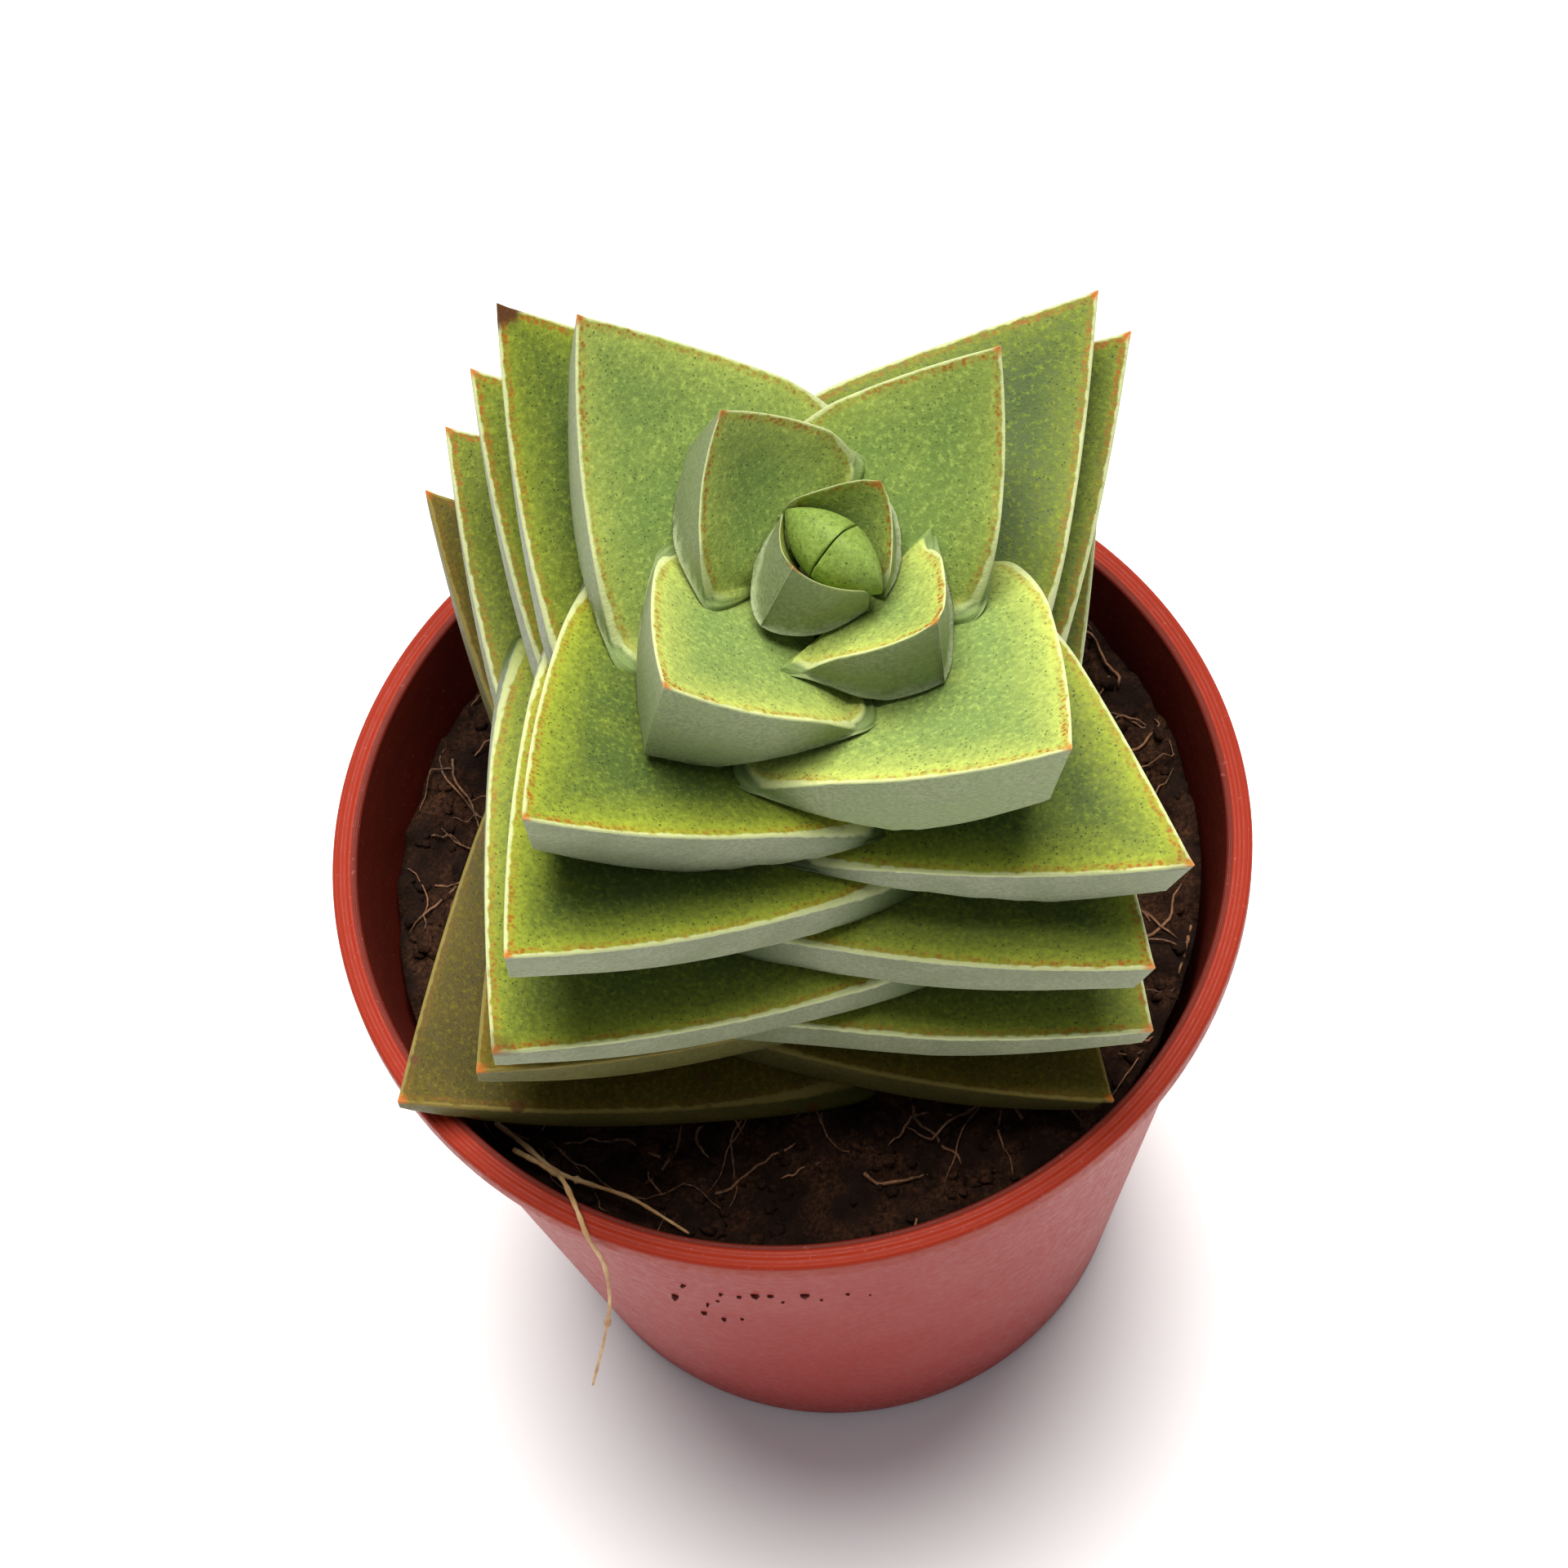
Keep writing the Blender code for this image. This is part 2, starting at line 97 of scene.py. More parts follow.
def plain_surface(name, colour, roughness):
    """A shader of one colour and one roughness, for the studio only."""
    material = bpy.data.materials.new(name)
    material.use_nodes = True
    shader = material.node_tree.nodes["Principled BSDF"]
    shader.inputs["Base Color"].default_value = (*colour, 1.0)
    shader.inputs["Roughness"].default_value = roughness
    return material


half_table = TABLE_SIZE / 2.0
table_mesh = bpy.data.meshes.new("table_top")
table_mesh.from_pydata(
    [(-half_table, -half_table, 0.0), (half_table, -half_table, 0.0),
     (half_table, half_table, 0.0), (-half_table, half_table, 0.0)],
    [], [(0, 1, 2, 3)],
)
table_mesh.materials.append(plain_surface("table_white", (0.93, 0.93, 0.95), 0.7))
table_top = bpy.data.objects.new("table_top", table_mesh)
bpy.context.scene.collection.objects.link(table_top)

key_light = bpy.data.lights.new("key_light", "SUN")
key_light.energy = KEY_STRENGTH
key_light.angle = np.radians(KEY_SOFTNESS)
key_light.color = (1.0, 0.98, 0.93)
key = bpy.data.objects.new("key_light", key_light)
key.rotation_euler = (np.radians(90.0 - KEY_ELEVATION), 0.0, np.radians(180.0 - KEY_AZIMUTH))
bpy.context.scene.collection.objects.link(key)

surround = bpy.data.worlds.new("surround")
surround.use_nodes = True
surround.node_tree.nodes["Background"].inputs["Color"].default_value = (*SURROUND, 1.0)
surround.node_tree.nodes["Background"].inputs["Strength"].default_value = SURROUND_STRENGTH
bpy.context.scene.world = surround
bpy.context.scene.view_settings.view_transform = "Standard"

# ---------------------------------------------------------------- pot
# A thin nursery pot of soft red plastic, moulded in one piece, with a rolled lip that carries
# three fine rings, and drainage holes in its base.
BASE_RADIUS = 19.3
LIP_OVERHANG = 0.75
LIP_HEIGHT = 1.5
WALL = 0.8
BASE_THICKNESS = 1.0
POT_SLOPE = (RIM_RADIUS - LIP_OVERHANG - BASE_RADIUS) / RIM_HEIGHT
POT_SEGMENTS = 224
HOLE_COUNT = 4
HOLE_RADIUS = 2.5
HOLE_CIRCLE_RADIUS = 12.0
HOLE_SIDES = 40
POT_WALL_RED = (0.27, 0.028, 0.022)
POT_LIP_RED = (0.27, 0.022, 0.008)
# Painted shade colour for the inside of the wall.
POT_INSIDE_SHADE_RED = (0.12, 0.014, 0.008)
POT_DUST = (0.38, 0.12, 0.1)


def wave(values, low, high):
    """Smooth step: 0 below low, 1 above high, 3t squared less 2t cubed between."""
    t = np.clip((values - low) / (high - low), 0.0, 1.0)
    return t * t * (3.0 - 2.0 * t)


def loft_faces(rows, ring):
    """Quads between consecutive rings of points, with one face closing each end."""
    row, i = np.meshgrid(np.arange(rows - 1), np.arange(ring), indexing="ij")
    j = (i + 1) % ring
    quads = np.stack([row * ring + i, row * ring + j, (row + 1) * ring + j, (row + 1) * ring + i], -1)
    faces = quads.reshape(-1, 4).tolist()
    faces.append(list(range(ring))[::-1])
    faces.append(list(range((rows - 1) * ring, rows * ring)))
    return faces


def add_piece(name, points, faces, material, nodes=()):
    """Put points in millimetres and outward faces into a smooth mesh that rides with the plant."""
    mesh = bpy.data.meshes.new(name)
    mesh.from_pydata((np.asarray(points, float) * MM).tolist(), [], faces)
    mesh.polygons.foreach_set("use_smooth", [True] * len(mesh.polygons))
    mesh.materials.append(material)
    mesh.update()
    piece = bpy.data.objects.new(name, mesh)
    bpy.context.scene.collection.objects.link(piece)
    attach(piece, "root")
    if nodes:
        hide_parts(*nodes)
    return piece


def add_attribute(piece, name, values):
    """Store one number for each point of a piece."""
    attribute = piece.data.attributes.new(name, "FLOAT", "POINT")
    attribute.data.foreach_set("value", np.asarray(values, np.float32).ravel())


class Finish:
    """A procedural finish: a tree of shader nodes that ends in one shader."""

    def __init__(self, name):
        self.material = bpy.data.materials.new(name)
        self.material.use_nodes = True
        self.tree = self.material.node_tree
        self.shader = self.tree.nodes["Principled BSDF"]
        place = self.tree.nodes.new("ShaderNodeTexCoord")
        self.place = place.outputs["Object"]

    def feed(self, socket, value):
        """Link an output to a socket, or set the socket to a number or a colour."""
        if isinstance(value, bpy.types.NodeSocket):
            self.tree.links.new(value, socket)
        elif isinstance(value, tuple) and len(value) == 3 and socket.type == "RGBA":
            socket.default_value = (*value, 1.0)
        else:
            socket.default_value = value

    def read(self, name):
        """The number that the piece stores for each point under a name."""
        node = self.tree.nodes.new("ShaderNodeAttribute")
        node.attribute_name = name
        return node.outputs["Fac"]

    def sum(self, operation, first, second=0.0):
        """One arithmetic step."""
        node = self.tree.nodes.new("ShaderNodeMath")
        node.operation = operation
        self.feed(node.inputs[0], first)
        self.feed(node.inputs[1], second)
        return node.outputs[0]

    def step(self, value, low, high, start=0.0, end=1.0):
        """Value carried smoothly from start at low to end at high."""
        node = self.tree.nodes.new("ShaderNodeMapRange")
        node.interpolation_type = "SMOOTHSTEP"
        self.feed(node.inputs["Value"], value)
        node.inputs["From Min"].default_value = low
        node.inputs["From Max"].default_value = high
        node.inputs["To Min"].default_value = start
        node.inputs["To Max"].default_value = end
        return node.outputs[0]

    def mix(self, share, first, second):
        """First colour turning into the second by a share."""
        node = self.tree.nodes.new("ShaderNodeMix")
        node.data_type = "RGBA"
        self.feed(node.inputs["Factor"], share)
        self.feed(node.inputs["A"], first)
        self.feed(node.inputs["B"], second)
        return node.outputs["Result"]

    def grain(self, size, detail=3.0, roughness=0.55):
        """Cloudy pattern whose lumps are about size millimetres."""
        node = self.tree.nodes.new("ShaderNodeTexNoise")
        self.tree.links.new(self.place, node.inputs["Vector"])
        node.inputs["Scale"].default_value = 1.0 / (size * MM)
        node.inputs["Detail"].default_value = detail
        node.inputs["Roughness"].default_value = roughness
        return node.outputs["Fac"]

    def cells(self, size):
        """Distance from the nearest of a scatter of points about size millimetres apart."""
        node = self.tree.nodes.new("ShaderNodeTexVoronoi")
        self.tree.links.new(self.place, node.inputs["Vector"])
        node.inputs["Scale"].default_value = 1.0 / (size * MM)
        return node.outputs["Distance"]

    def relief(self, height, depth, below=None):
        """Bump of a depth in millimetres, stacked on another bump if one is given."""
        node = self.tree.nodes.new("ShaderNodeBump")
        node.inputs["Distance"].default_value = depth * MM
        self.feed(node.inputs["Height"], height)
        if below is not None:
            self.tree.links.new(below, node.inputs["Normal"])
        return node.outputs["Normal"]

    def set(self, **sockets):
        """Feed shader sockets named in lower case with underscores."""
        for name, value in sockets.items():
            self.feed(self.shader.inputs[name.replace("_", " ").title().replace("Ior", "IOR")], value)
        return self.material


def pot_profile():
    """Radius and height round the wall: foot, outside, lip with three rings, inside, base."""
    under_lip = RIM_HEIGHT - LIP_HEIGHT
    turn = np.linspace(0.0, np.pi / 2.0, 7)
    foot = np.stack([BASE_RADIUS - 0.6 + 0.6 * np.sin(turn), 0.6 - 0.6 * np.cos(turn)], 1)
    heights = np.linspace(1.2, under_lip - 0.35, 24)
    wall = np.stack([BASE_RADIUS + POT_SLOPE * heights, heights], 1)
    neck_radius = BASE_RADIUS + POT_SLOPE * under_lip
    neck = np.stack([neck_radius + 0.3 * (1.0 - np.cos(turn)), under_lip - 0.3 + 0.3 * np.sin(turn)], 1)
    low_edge = np.stack([RIM_RADIUS - 0.2 + 0.2 * np.sin(turn), under_lip + 0.2 - 0.2 * np.cos(turn)], 1)
    high_edge = np.stack([RIM_RADIUS - 0.3 + 0.3 * np.cos(turn), RIM_HEIGHT - 0.3 + 0.3 * np.sin(turn)], 1)
    inside = RIM_RADIUS - LIP_OVERHANG - WALL
    across = np.linspace(RIM_RADIUS - 0.32, inside + 0.25, 31)
    rings = 0.06 * (0.5 - 0.5 * np.cos((across - inside) / (RIM_RADIUS - inside) * 6.0 * np.pi))
    top = np.stack([across, RIM_HEIGHT - rings], 1)
    inner_edge = np.stack([inside + 0.22 - 0.22 * np.sin(turn), RIM_HEIGHT - 0.25 + 0.22 * np.cos(turn)], 1)
    depths = np.linspace(RIM_HEIGHT - 0.8, BASE_THICKNESS + 0.8, 24)
    inner_wall = np.stack([BASE_RADIUS + POT_SLOPE * depths - WALL, depths], 1)
    floor_radius = BASE_RADIUS + POT_SLOPE * BASE_THICKNESS - WALL
    corner = np.stack([floor_radius - 0.5 + 0.5 * np.cos(turn), BASE_THICKNESS + 0.5 - 0.5 * np.sin(turn)], 1)
    return np.concatenate([foot, wall, neck, low_edge, high_edge, top, inner_edge, inner_wall, corner])


def turned(profile, segments):
    """Carry a profile of radius and height round the upright axis."""
    angle = np.arange(segments) * 2.0 * np.pi / segments
    radius, height = profile[:, :1], profile[:, 1:]
    return np.stack([radius * np.cos(angle), radius * np.sin(angle), height + 0.0 * angle], -1)


def cut_holes(piece, centres, radius, low, high):
    """Take round posts out of a piece and keep the result as its mesh."""
    turn = np.arange(HOLE_SIDES) * 2.0 * np.pi / HOLE_SIDES
    for number, (x, y) in enumerate(centres):
        ring = np.stack([x + radius * np.cos(turn), y + radius * np.sin(turn)], 1)
        points = np.concatenate([np.column_stack([ring, np.full(HOLE_SIDES, z)]) for z in (low, high)])
        mesh = bpy.data.meshes.new(f"post_{number}")
        mesh.from_pydata((points * MM).tolist(), [], loft_faces(2, HOLE_SIDES))
        post = bpy.data.objects.new(f"post_{number}", mesh)
        bpy.context.scene.collection.objects.link(post)
        cut = piece.modifiers.new("hole", "BOOLEAN")
        cut.operation = "DIFFERENCE"
        cut.solver = "EXACT"
        cut.object = post
        bpy.context.view_layer.update()
        graph = bpy.context.evaluated_depsgraph_get()
        drilled = bpy.data.meshes.new_from_object(piece.evaluated_get(graph))
        piece.modifiers.remove(cut)
        piece.data = drilled
        bpy.data.objects.remove(post)


def pot_plastic():
    """Soft red plastic: brighter at the lip, dusty and scuffed outside, and darkened inside as painted shade.

    Inside is where the distance from the axis, less the wall's slope times the height, is smaller
    than the middle of the wall.
    """
    finish = Finish("pot_plastic")
    parts = finish.tree.nodes.new("ShaderNodeSeparateXYZ")
    finish.tree.links.new(finish.place, parts.inputs[0])
    x, y, z = parts.outputs
    square = finish.sum("ADD", finish.sum("POWER", x, 2.0), finish.sum("POWER", y, 2.0))
    out = finish.sum("SUBTRACT", finish.sum("SQRT", square), finish.sum("MULTIPLY", z, POT_SLOPE))
    inside = finish.step(out, (BASE_RADIUS - 0.35 * WALL) * MM, (BASE_RADIUS - 0.65 * WALL) * MM)
    lip = finish.step(z, (RIM_HEIGHT - 1.8) * MM, (RIM_HEIGHT - 1.3) * MM)
    colour = finish.mix(lip, POT_WALL_RED, POT_LIP_RED)
    # Painted shade: the inside of the wall is darkened, standing in for the shade within the pot.
    colour = finish.mix(inside, colour, POT_INSIDE_SHADE_RED)
    cloud = finish.step(finish.grain(9.0, 4.0), 0.4, 0.75, 0.0, 0.16)
    cloud = finish.sum("MULTIPLY", cloud, finish.sum("SUBTRACT", 1.0, inside))
    cloud = finish.sum("MULTIPLY", cloud, finish.sum("SUBTRACT", 1.0, lip))
    colour = finish.mix(cloud, colour, POT_DUST)
    fleck = finish.step(finish.grain(0.35, 2.0), 0.66, 0.74, 0.0, 0.35)
    colour = finish.mix(fleck, colour, POT_DUST)
    scuff = finish.grain(0.6, 5.0, 0.7)
    normal = finish.relief(scuff, 0.02)
    normal = finish.relief(finish.grain(5.0, 2.0), 0.12, normal)
    return finish.set(
        base_color=colour, roughness=finish.step(scuff, 0.3, 0.7, 0.36, 0.55), normal=normal,
        subsurface_weight=0.06, subsurface_radius=(1.0, 0.25, 0.1), subsurface_scale=0.0012,
        specular_ior_level=0.12,
    )


profile = pot_profile()
pot_points = turned(profile, POT_SEGMENTS)
pot = add_piece(
    "nursery_pot", pot_points.reshape(-1, 3), loft_faces(len(profile), POT_SEGMENTS),
    pot_plastic(), ["pot"],
)
hole_turn = (np.arange(HOLE_COUNT) + 0.5) * 2.0 * np.pi / HOLE_COUNT
hole_centres = HOLE_CIRCLE_RADIUS * np.stack([np.cos(hole_turn), np.sin(hole_turn)], 1)
cut_holes(pot, hole_centres, HOLE_RADIUS, -1.0, BASE_THICKNESS + 1.0)

# ---------------------------------------------------------------- how the plant stands
# The stem leans and bows a little, and every leaf is set out from it in the plant's own frame.
STEM_FOOT = (-1.0, 0.45)
STEM_LEAN = (0.149, -0.102)
STEM_BOW = 0.9
BOW_SPAN = 40.0
RANK_AZIMUTH = 39.7
GAP = 0.4
STEM_RADIUS = 1.7


def plant_axes():
    """Unit vectors of the leaning stem: two across it and one along it."""
    along = np.array([STEM_LEAN[0], STEM_LEAN[1], 1.0])
    along /= np.linalg.norm(along)
    azimuth = np.radians(RANK_AZIMUTH)
    across = np.array([np.cos(azimuth), np.sin(azimuth), 0.0])
    across -= along * (across @ along)
    across /= np.linalg.norm(across)
    return across, np.cross(along, across), along


ACROSS, BESIDE, ALONG = plant_axes()


def to_world(x, y, h):
    """Plant frame to the row frame: foot, plus x and y across, plus h along, plus the bow."""
    bow = STEM_BOW * 4.0 * (h / BOW_SPAN) * (1.0 - h / BOW_SPAN)
    foot = np.array([STEM_FOOT[0], STEM_FOOT[1], RIM_HEIGHT])
    point = foot + x[..., None] * ACROSS + y[..., None] * BESIDE + h[..., None] * ALONG
    point[..., 1] += bow
    return point


# ---------------------------------------------------------------- potting mix
# Dark peat with coir: a crumbly bed that fills the pot to a few millimetres below the lip,
# with loose crumbs and many short coir fibres lying on it.
SOIL_DEPTH = 5.3
PIT_DEPTH = 3.0
SOIL_RINGS = 110
SOIL_SEGMENTS = 300
CRUMB_COUNT = 1500
CRUMB_SQUASH = 0.75
FIBRE_COUNT = 260
FIBRE_POINTS = 12
FIBRE_SIDES = 5
PEAT = (0.014, 0.0065, 0.004)
PEAT_DRY = (0.1, 0.04, 0.018)
DRY_SHARE = 0.8
COIR = (0.17, 0.07, 0.028)


def soil_height(x, y):
    """Height of the bed's broad lumps: two crossed waves multiplied, a slanting one, and a slope."""
    lumps = np.sin(x * 0.61 + 1.3) * np.sin(y * 0.53 + 0.4) + 0.6 * np.sin(x * 1.17 - y * 0.83 + 2.0)
    return RIM_HEIGHT - SOIL_DEPTH + 0.05 * x + 0.42 * lumps


def clods(x, y, size, seed):
    """Smooth random field between 0 and 1: random corner values of a square lattice, blended."""
    u, v = x / size, y / size
    i, j = np.floor(u), np.floor(v)
    fu, fv = u - i, v - j
    fu, fv = fu * fu * (3.0 - 2.0 * fu), fv * fv * (3.0 - 2.0 * fv)

    def corner(a, b):
        value = np.sin(a * 127.1 + b * 311.7 + seed * 74.7) * 43758.5453
        return value - np.floor(value)

    low = corner(i, j) * (1.0 - fu) + corner(i + 1, j) * fu
    high = corner(i, j + 1) * (1.0 - fu) + corner(i + 1, j + 1) * fu
    return low * (1.0 - fv) + high * fv


def bed_height(x, y):
    """Broad lumps, with clods and grit added, and calmer close to the stem under the leaves."""
    open_ground = wave(np.hypot(x + 1.0, y - 0.5), 7.0, 15.0)
    rough = 1.1 * (clods(x, y, 1.9, 1) - 0.6) + 0.8 * (clods(x, y, 0.85, 2) - 0.5)
    rough = rough + 0.5 * (clods(x, y, 0.4, 3) - 0.5)
    return soil_height(x, y) + rough * (0.35 + 0.75 * open_ground)


def peat(name, dark, dry):
    """Dark crumbly matter: damp and almost black in the hollows, browner where it has dried."""
    finish = Finish(name)
    fine, broad = finish.grain(0.3, 5.0, 0.7), finish.grain(2.6, 4.0, 0.6)
    share = finish.sum("MULTIPLY", finish.step(broad, 0.35, 0.68), finish.step(fine, 0.35, 0.7))
    colour = finish.mix(finish.sum("MULTIPLY", share, DRY_SHARE), dark, dry)
    normal = finish.relief(fine, 0.25)
    return finish.set(base_color=colour, roughness=0.92, specular_ior_level=0.1, normal=normal)


bed_angle = np.arange(SOIL_SEGMENTS) * 2.0 * np.pi / SOIL_SEGMENTS
bed_direction = np.stack([np.cos(bed_angle), np.sin(bed_angle)], 1)
bed_bottom = BASE_THICKNESS + 0.4
bed_radius = BASE_RADIUS + POT_SLOPE * (RIM_HEIGHT - SOIL_DEPTH - 1.5) - WALL - 0.4
pit_centre = to_world(np.array([0.0]), np.array([0.0]), np.array([-SOIL_DEPTH]))[0, :2]
pit_rim = pit_centre + bed_direction * (STEM_RADIUS + 0.8)
bottom_ring = bed_direction * (BASE_RADIUS + POT_SLOPE * bed_bottom - WALL - 0.4)
bed_rings = [np.column_stack([bottom_ring, np.full(SOIL_SEGMENTS, bed_bottom)])]
for share in np.linspace(0.0, 1.0, SOIL_RINGS) ** 0.8:
    ring = bed_direction * bed_radius * (1.0 - share) + pit_rim * share
    bed_rings.append(np.column_stack([ring, bed_height(ring[:, 0], ring[:, 1])]))
bed_rings.append(np.column_stack([pit_rim, np.full(SOIL_SEGMENTS, RIM_HEIGHT - SOIL_DEPTH - PIT_DEPTH)]))
bed_skin = peat("potting_mix", PEAT, PEAT_DRY)
add_piece(
    "potting_mix_bed", np.concatenate(bed_rings), loft_faces(len(bed_rings), SOIL_SEGMENTS),
    bed_skin, ["potting_mix"],
)

dice = np.random.default_rng(11)


def scatter_on_bed(count, least_radius):
    """Even random places on the bed, none nearer the stem than the least radius."""
    radius = np.sqrt(dice.uniform(least_radius ** 2, (bed_radius - 0.5) ** 2, count))
    angle = dice.uniform(0.0, 2.0 * np.pi, count)
    x, y = radius * np.cos(angle), radius * np.sin(angle)
    return np.stack([x, y, bed_height(x, y)], 1)


def crumb_shape():
    """A lump of six-sided rings between two poles, wound outward."""
    polar = np.array([0.18, 0.36, 0.54, 0.72, 0.86]) * np.pi
    around = np.arange(6) * np.pi / 3.0
    rings = np.stack([
        np.sin(polar)[:, None] * np.cos(around), np.sin(polar)[:, None] * np.sin(around),
        -np.cos(polar)[:, None] + 0.0 * around,
    ], -1)
    return rings.reshape(-1, 3), loft_faces(5, 6)


def add_crumbs(name, places, sizes, squash, material):
    """Copies of the lump, each stretched, turned and roughened by its own random numbers."""
    shape, faces = crumb_shape()
    count = len(places)
    stretch = sizes[:, None, None] * dice.uniform(0.65, 1.25, (count, 1, 3)) * np.array([1.0, 1.0, squash])
    lump = shape[None] * (1.0 + dice.uniform(-0.28, 0.28, (count, len(shape), 1))) * stretch
    turn = dice.uniform(0.0, 2.0 * np.pi, count)[:, None]
    c, s = np.cos(turn), np.sin(turn)
    x, y, z = lump[..., 0], lump[..., 1], lump[..., 2]
    lump = np.stack([x * c - y * s, x * s + y * c, z], -1)
    points = (lump + places[:, None, :]).reshape(-1, 3)
    every = [[i + n * len(shape) for i in face] for n in range(count) for face in faces]
    return add_piece(name, points, every, material)


crumb_places = scatter_on_bed(CRUMB_COUNT, 4.0)
crumb_reach = wave(np.hypot(crumb_places[:, 0], crumb_places[:, 1]), 9.0, 17.0)
crumb_sizes = dice.uniform(0.16, 0.42, CRUMB_COUNT)
crumb_sizes = crumb_sizes * (0.6 + 0.9 * crumb_reach * dice.uniform(0.2, 1.3, CRUMB_COUNT))
add_crumbs("peat_crumbs", crumb_places, crumb_sizes, CRUMB_SQUASH, bed_skin)


def tube(path, radius, sides):
    """Rings of points about a path, square to its direction, with one radius for each ring."""
    ahead = np.gradient(path, axis=0)
    ahead /= np.linalg.norm(ahead, axis=1, keepdims=True)
    side = np.cross(ahead, np.array([0.0, 0.0, 1.0]) + 1e-4)
    side /= np.linalg.norm(side, axis=1, keepdims=True)
    up = np.cross(side, ahead)
    angle = np.arange(sides) * 2.0 * np.pi / sides
    spread = np.cos(angle)[None, :, None] * side[:, None] - np.sin(angle)[None, :, None] * up[:, None]
    return path[:, None, :] + spread * np.broadcast_to(radius, len(path))[:, None, None]


def fibre_bundle(count):
    """Short wandering tubes lying on the bed: each heading drifts at random from point to point."""
    starts = scatter_on_bed(count, 8.0)
    points, faces = [], []
    for start in starts:
        length, heading = dice.uniform(2.0, 8.5), dice.uniform(0.0, 2.0 * np.pi)
        bend = heading + np.cumsum(dice.normal(0.0, 0.22, FIBRE_POINTS))
        bend = bend + dice.normal(0.0, 0.05) * np.arange(FIBRE_POINTS)
        step = length / FIBRE_POINTS
        x = start[0] + np.cumsum(np.cos(bend)) * step
        y = start[1] + np.cumsum(np.sin(bend)) * step
        radius = np.hypot(x, y)
        keep = np.minimum(1.0, (bed_radius - 0.35) / np.maximum(radius, 0.01))
        x, y = x * keep, y * keep
        arch = np.sin(np.linspace(0.0, np.pi, FIBRE_POINTS)) * dice.uniform(0.0, 0.7)
        arch = arch * wave(np.hypot(x, y), 11.0, 18.0)
        path = np.stack([x, y, bed_height(x, y) + 0.08 + arch], 1)
        thick = dice.uniform(0.045, 0.13) * (1.0 - 0.5 * np.linspace(0.0, 1.0, FIBRE_POINTS) ** 2)
        ring = tube(path, thick, FIBRE_SIDES).reshape(-1, 3)
        first = sum(len(p) for p in points)
        points.append(ring)
        faces += [[i + first for i in face] for face in loft_faces(FIBRE_POINTS, FIBRE_SIDES)]
    return np.concatenate(points), faces


coir = Finish("coir_fibre")
coir_colour = coir.mix(coir.step(coir.grain(3.0, 2.0), 0.35, 0.65), (0.05, 0.02, 0.009), COIR)
# Painted highlight: pale specks along the fibres stand in for light glinting on them.
coir_highlight = coir.step(coir.grain(0.25, 2.0), 0.4, 0.7, 0.0, 0.5)
coir_colour = coir.mix(coir_highlight, coir_colour, (0.3, 0.15, 0.065))
coir_relief = coir.relief(coir.grain(0.12, 2.0), 0.02)
coir_skin = coir.set(base_color=coir_colour, roughness=0.7, normal=coir_relief)
fibre_points, fibre_faces = fibre_bundle(FIBRE_COUNT)
add_piece("coir_fibres", fibre_points, fibre_faces, coir_skin)

# Damp crumbs that stuck to the outside of the wall when the pot was filled.
SPECKS = (  # angle round the pot from +X in degrees, height, size
    (242.7, 33.6, 0.42), (250.6, 37.6, 0.30), (247.6, 33.7, 0.22), (253.1, 37.6, 0.26),
    (255.5, 38.5, 0.40), (257.6, 38.6, 0.24), (262.2, 38.8, 0.34), (264.3, 37.3, 0.20),
    (268.0, 38.2, 0.16), (249.5, 35.3, 0.18), (246.0, 30.6, 0.30), (248.8, 29.9, 0.26),
    (251.8, 30.8, 0.18), (259.0, 36.9, 0.16), (245.4, 37.9, 0.2), (271.0, 37.0, 0.14),
)
SPECK_SCALE, SPECK_SQUASH = 0.75, 0.8
speck_skin = peat("stuck_peat", (0.12, 0.03, 0.02), (0.22, 0.06, 0.04))
speck_turn = np.radians([row[0] for row in SPECKS])
speck_height = np.array([row[1] for row in SPECKS])
speck_radius = BASE_RADIUS + POT_SLOPE * speck_height + 0.02
speck_x, speck_y = speck_radius * np.cos(speck_turn), speck_radius * np.sin(speck_turn)
speck_places = np.stack([speck_x, speck_y, speck_height], 1)
speck_sizes = SPECK_SCALE * np.array([row[2] for row in SPECKS])
add_crumbs("stuck_crumbs", speck_places, speck_sizes, SPECK_SQUASH, speck_skin)

# ---------------------------------------------------------------- stem
# The woody stem, hidden in the stack: round, ringed with scars about as far apart as the pairs.
STEM_TOP = 34.2
STEM_ROWS = 120
STEM_SIDES = 48
SCAR_SPACING = 3.6
stem_rows = np.linspace(0.0, 1.0, STEM_ROWS)
stem_h = -SOIL_DEPTH - 2.0 + (STEM_TOP + SOIL_DEPTH + 2.0) * stem_rows
stem_radius = STEM_RADIUS * (1.0 - 0.1 * wave(stem_h, 10.0, 33.0))
stem_radius = stem_radius * (1.0 - 0.5 * wave(stem_h, 32.8, STEM_TOP))
stem_radius = stem_radius - 0.07 * np.maximum(np.cos(stem_h * 2.0 * np.pi / SCAR_SPACING), 0.0) ** 3
stem_angle = np.arange(STEM_SIDES) * 2.0 * np.pi / STEM_SIDES
stem_points = to_world(
    stem_radius[:, None] * np.cos(stem_angle), stem_radius[:, None] * np.sin(stem_angle),
    stem_h[:, None] + 0.0 * stem_angle,
)
bark = Finish("stem_skin")
bark_share = bark.step(bark.grain(0.8, 4.0), 0.35, 0.7)
bark_colour = bark.mix(bark_share, (0.13, 0.12, 0.035), (0.32, 0.27, 0.12))
bark_relief = bark.relief(bark.grain(0.4, 4.0), 0.1)
bark_skin = bark.set(base_color=bark_colour, roughness=0.75, normal=bark_relief)
add_piece(
    "grown_stem", stem_points.reshape(-1, 3), loft_faces(STEM_ROWS, STEM_SIDES),
    bark_skin, ["stem"],
)

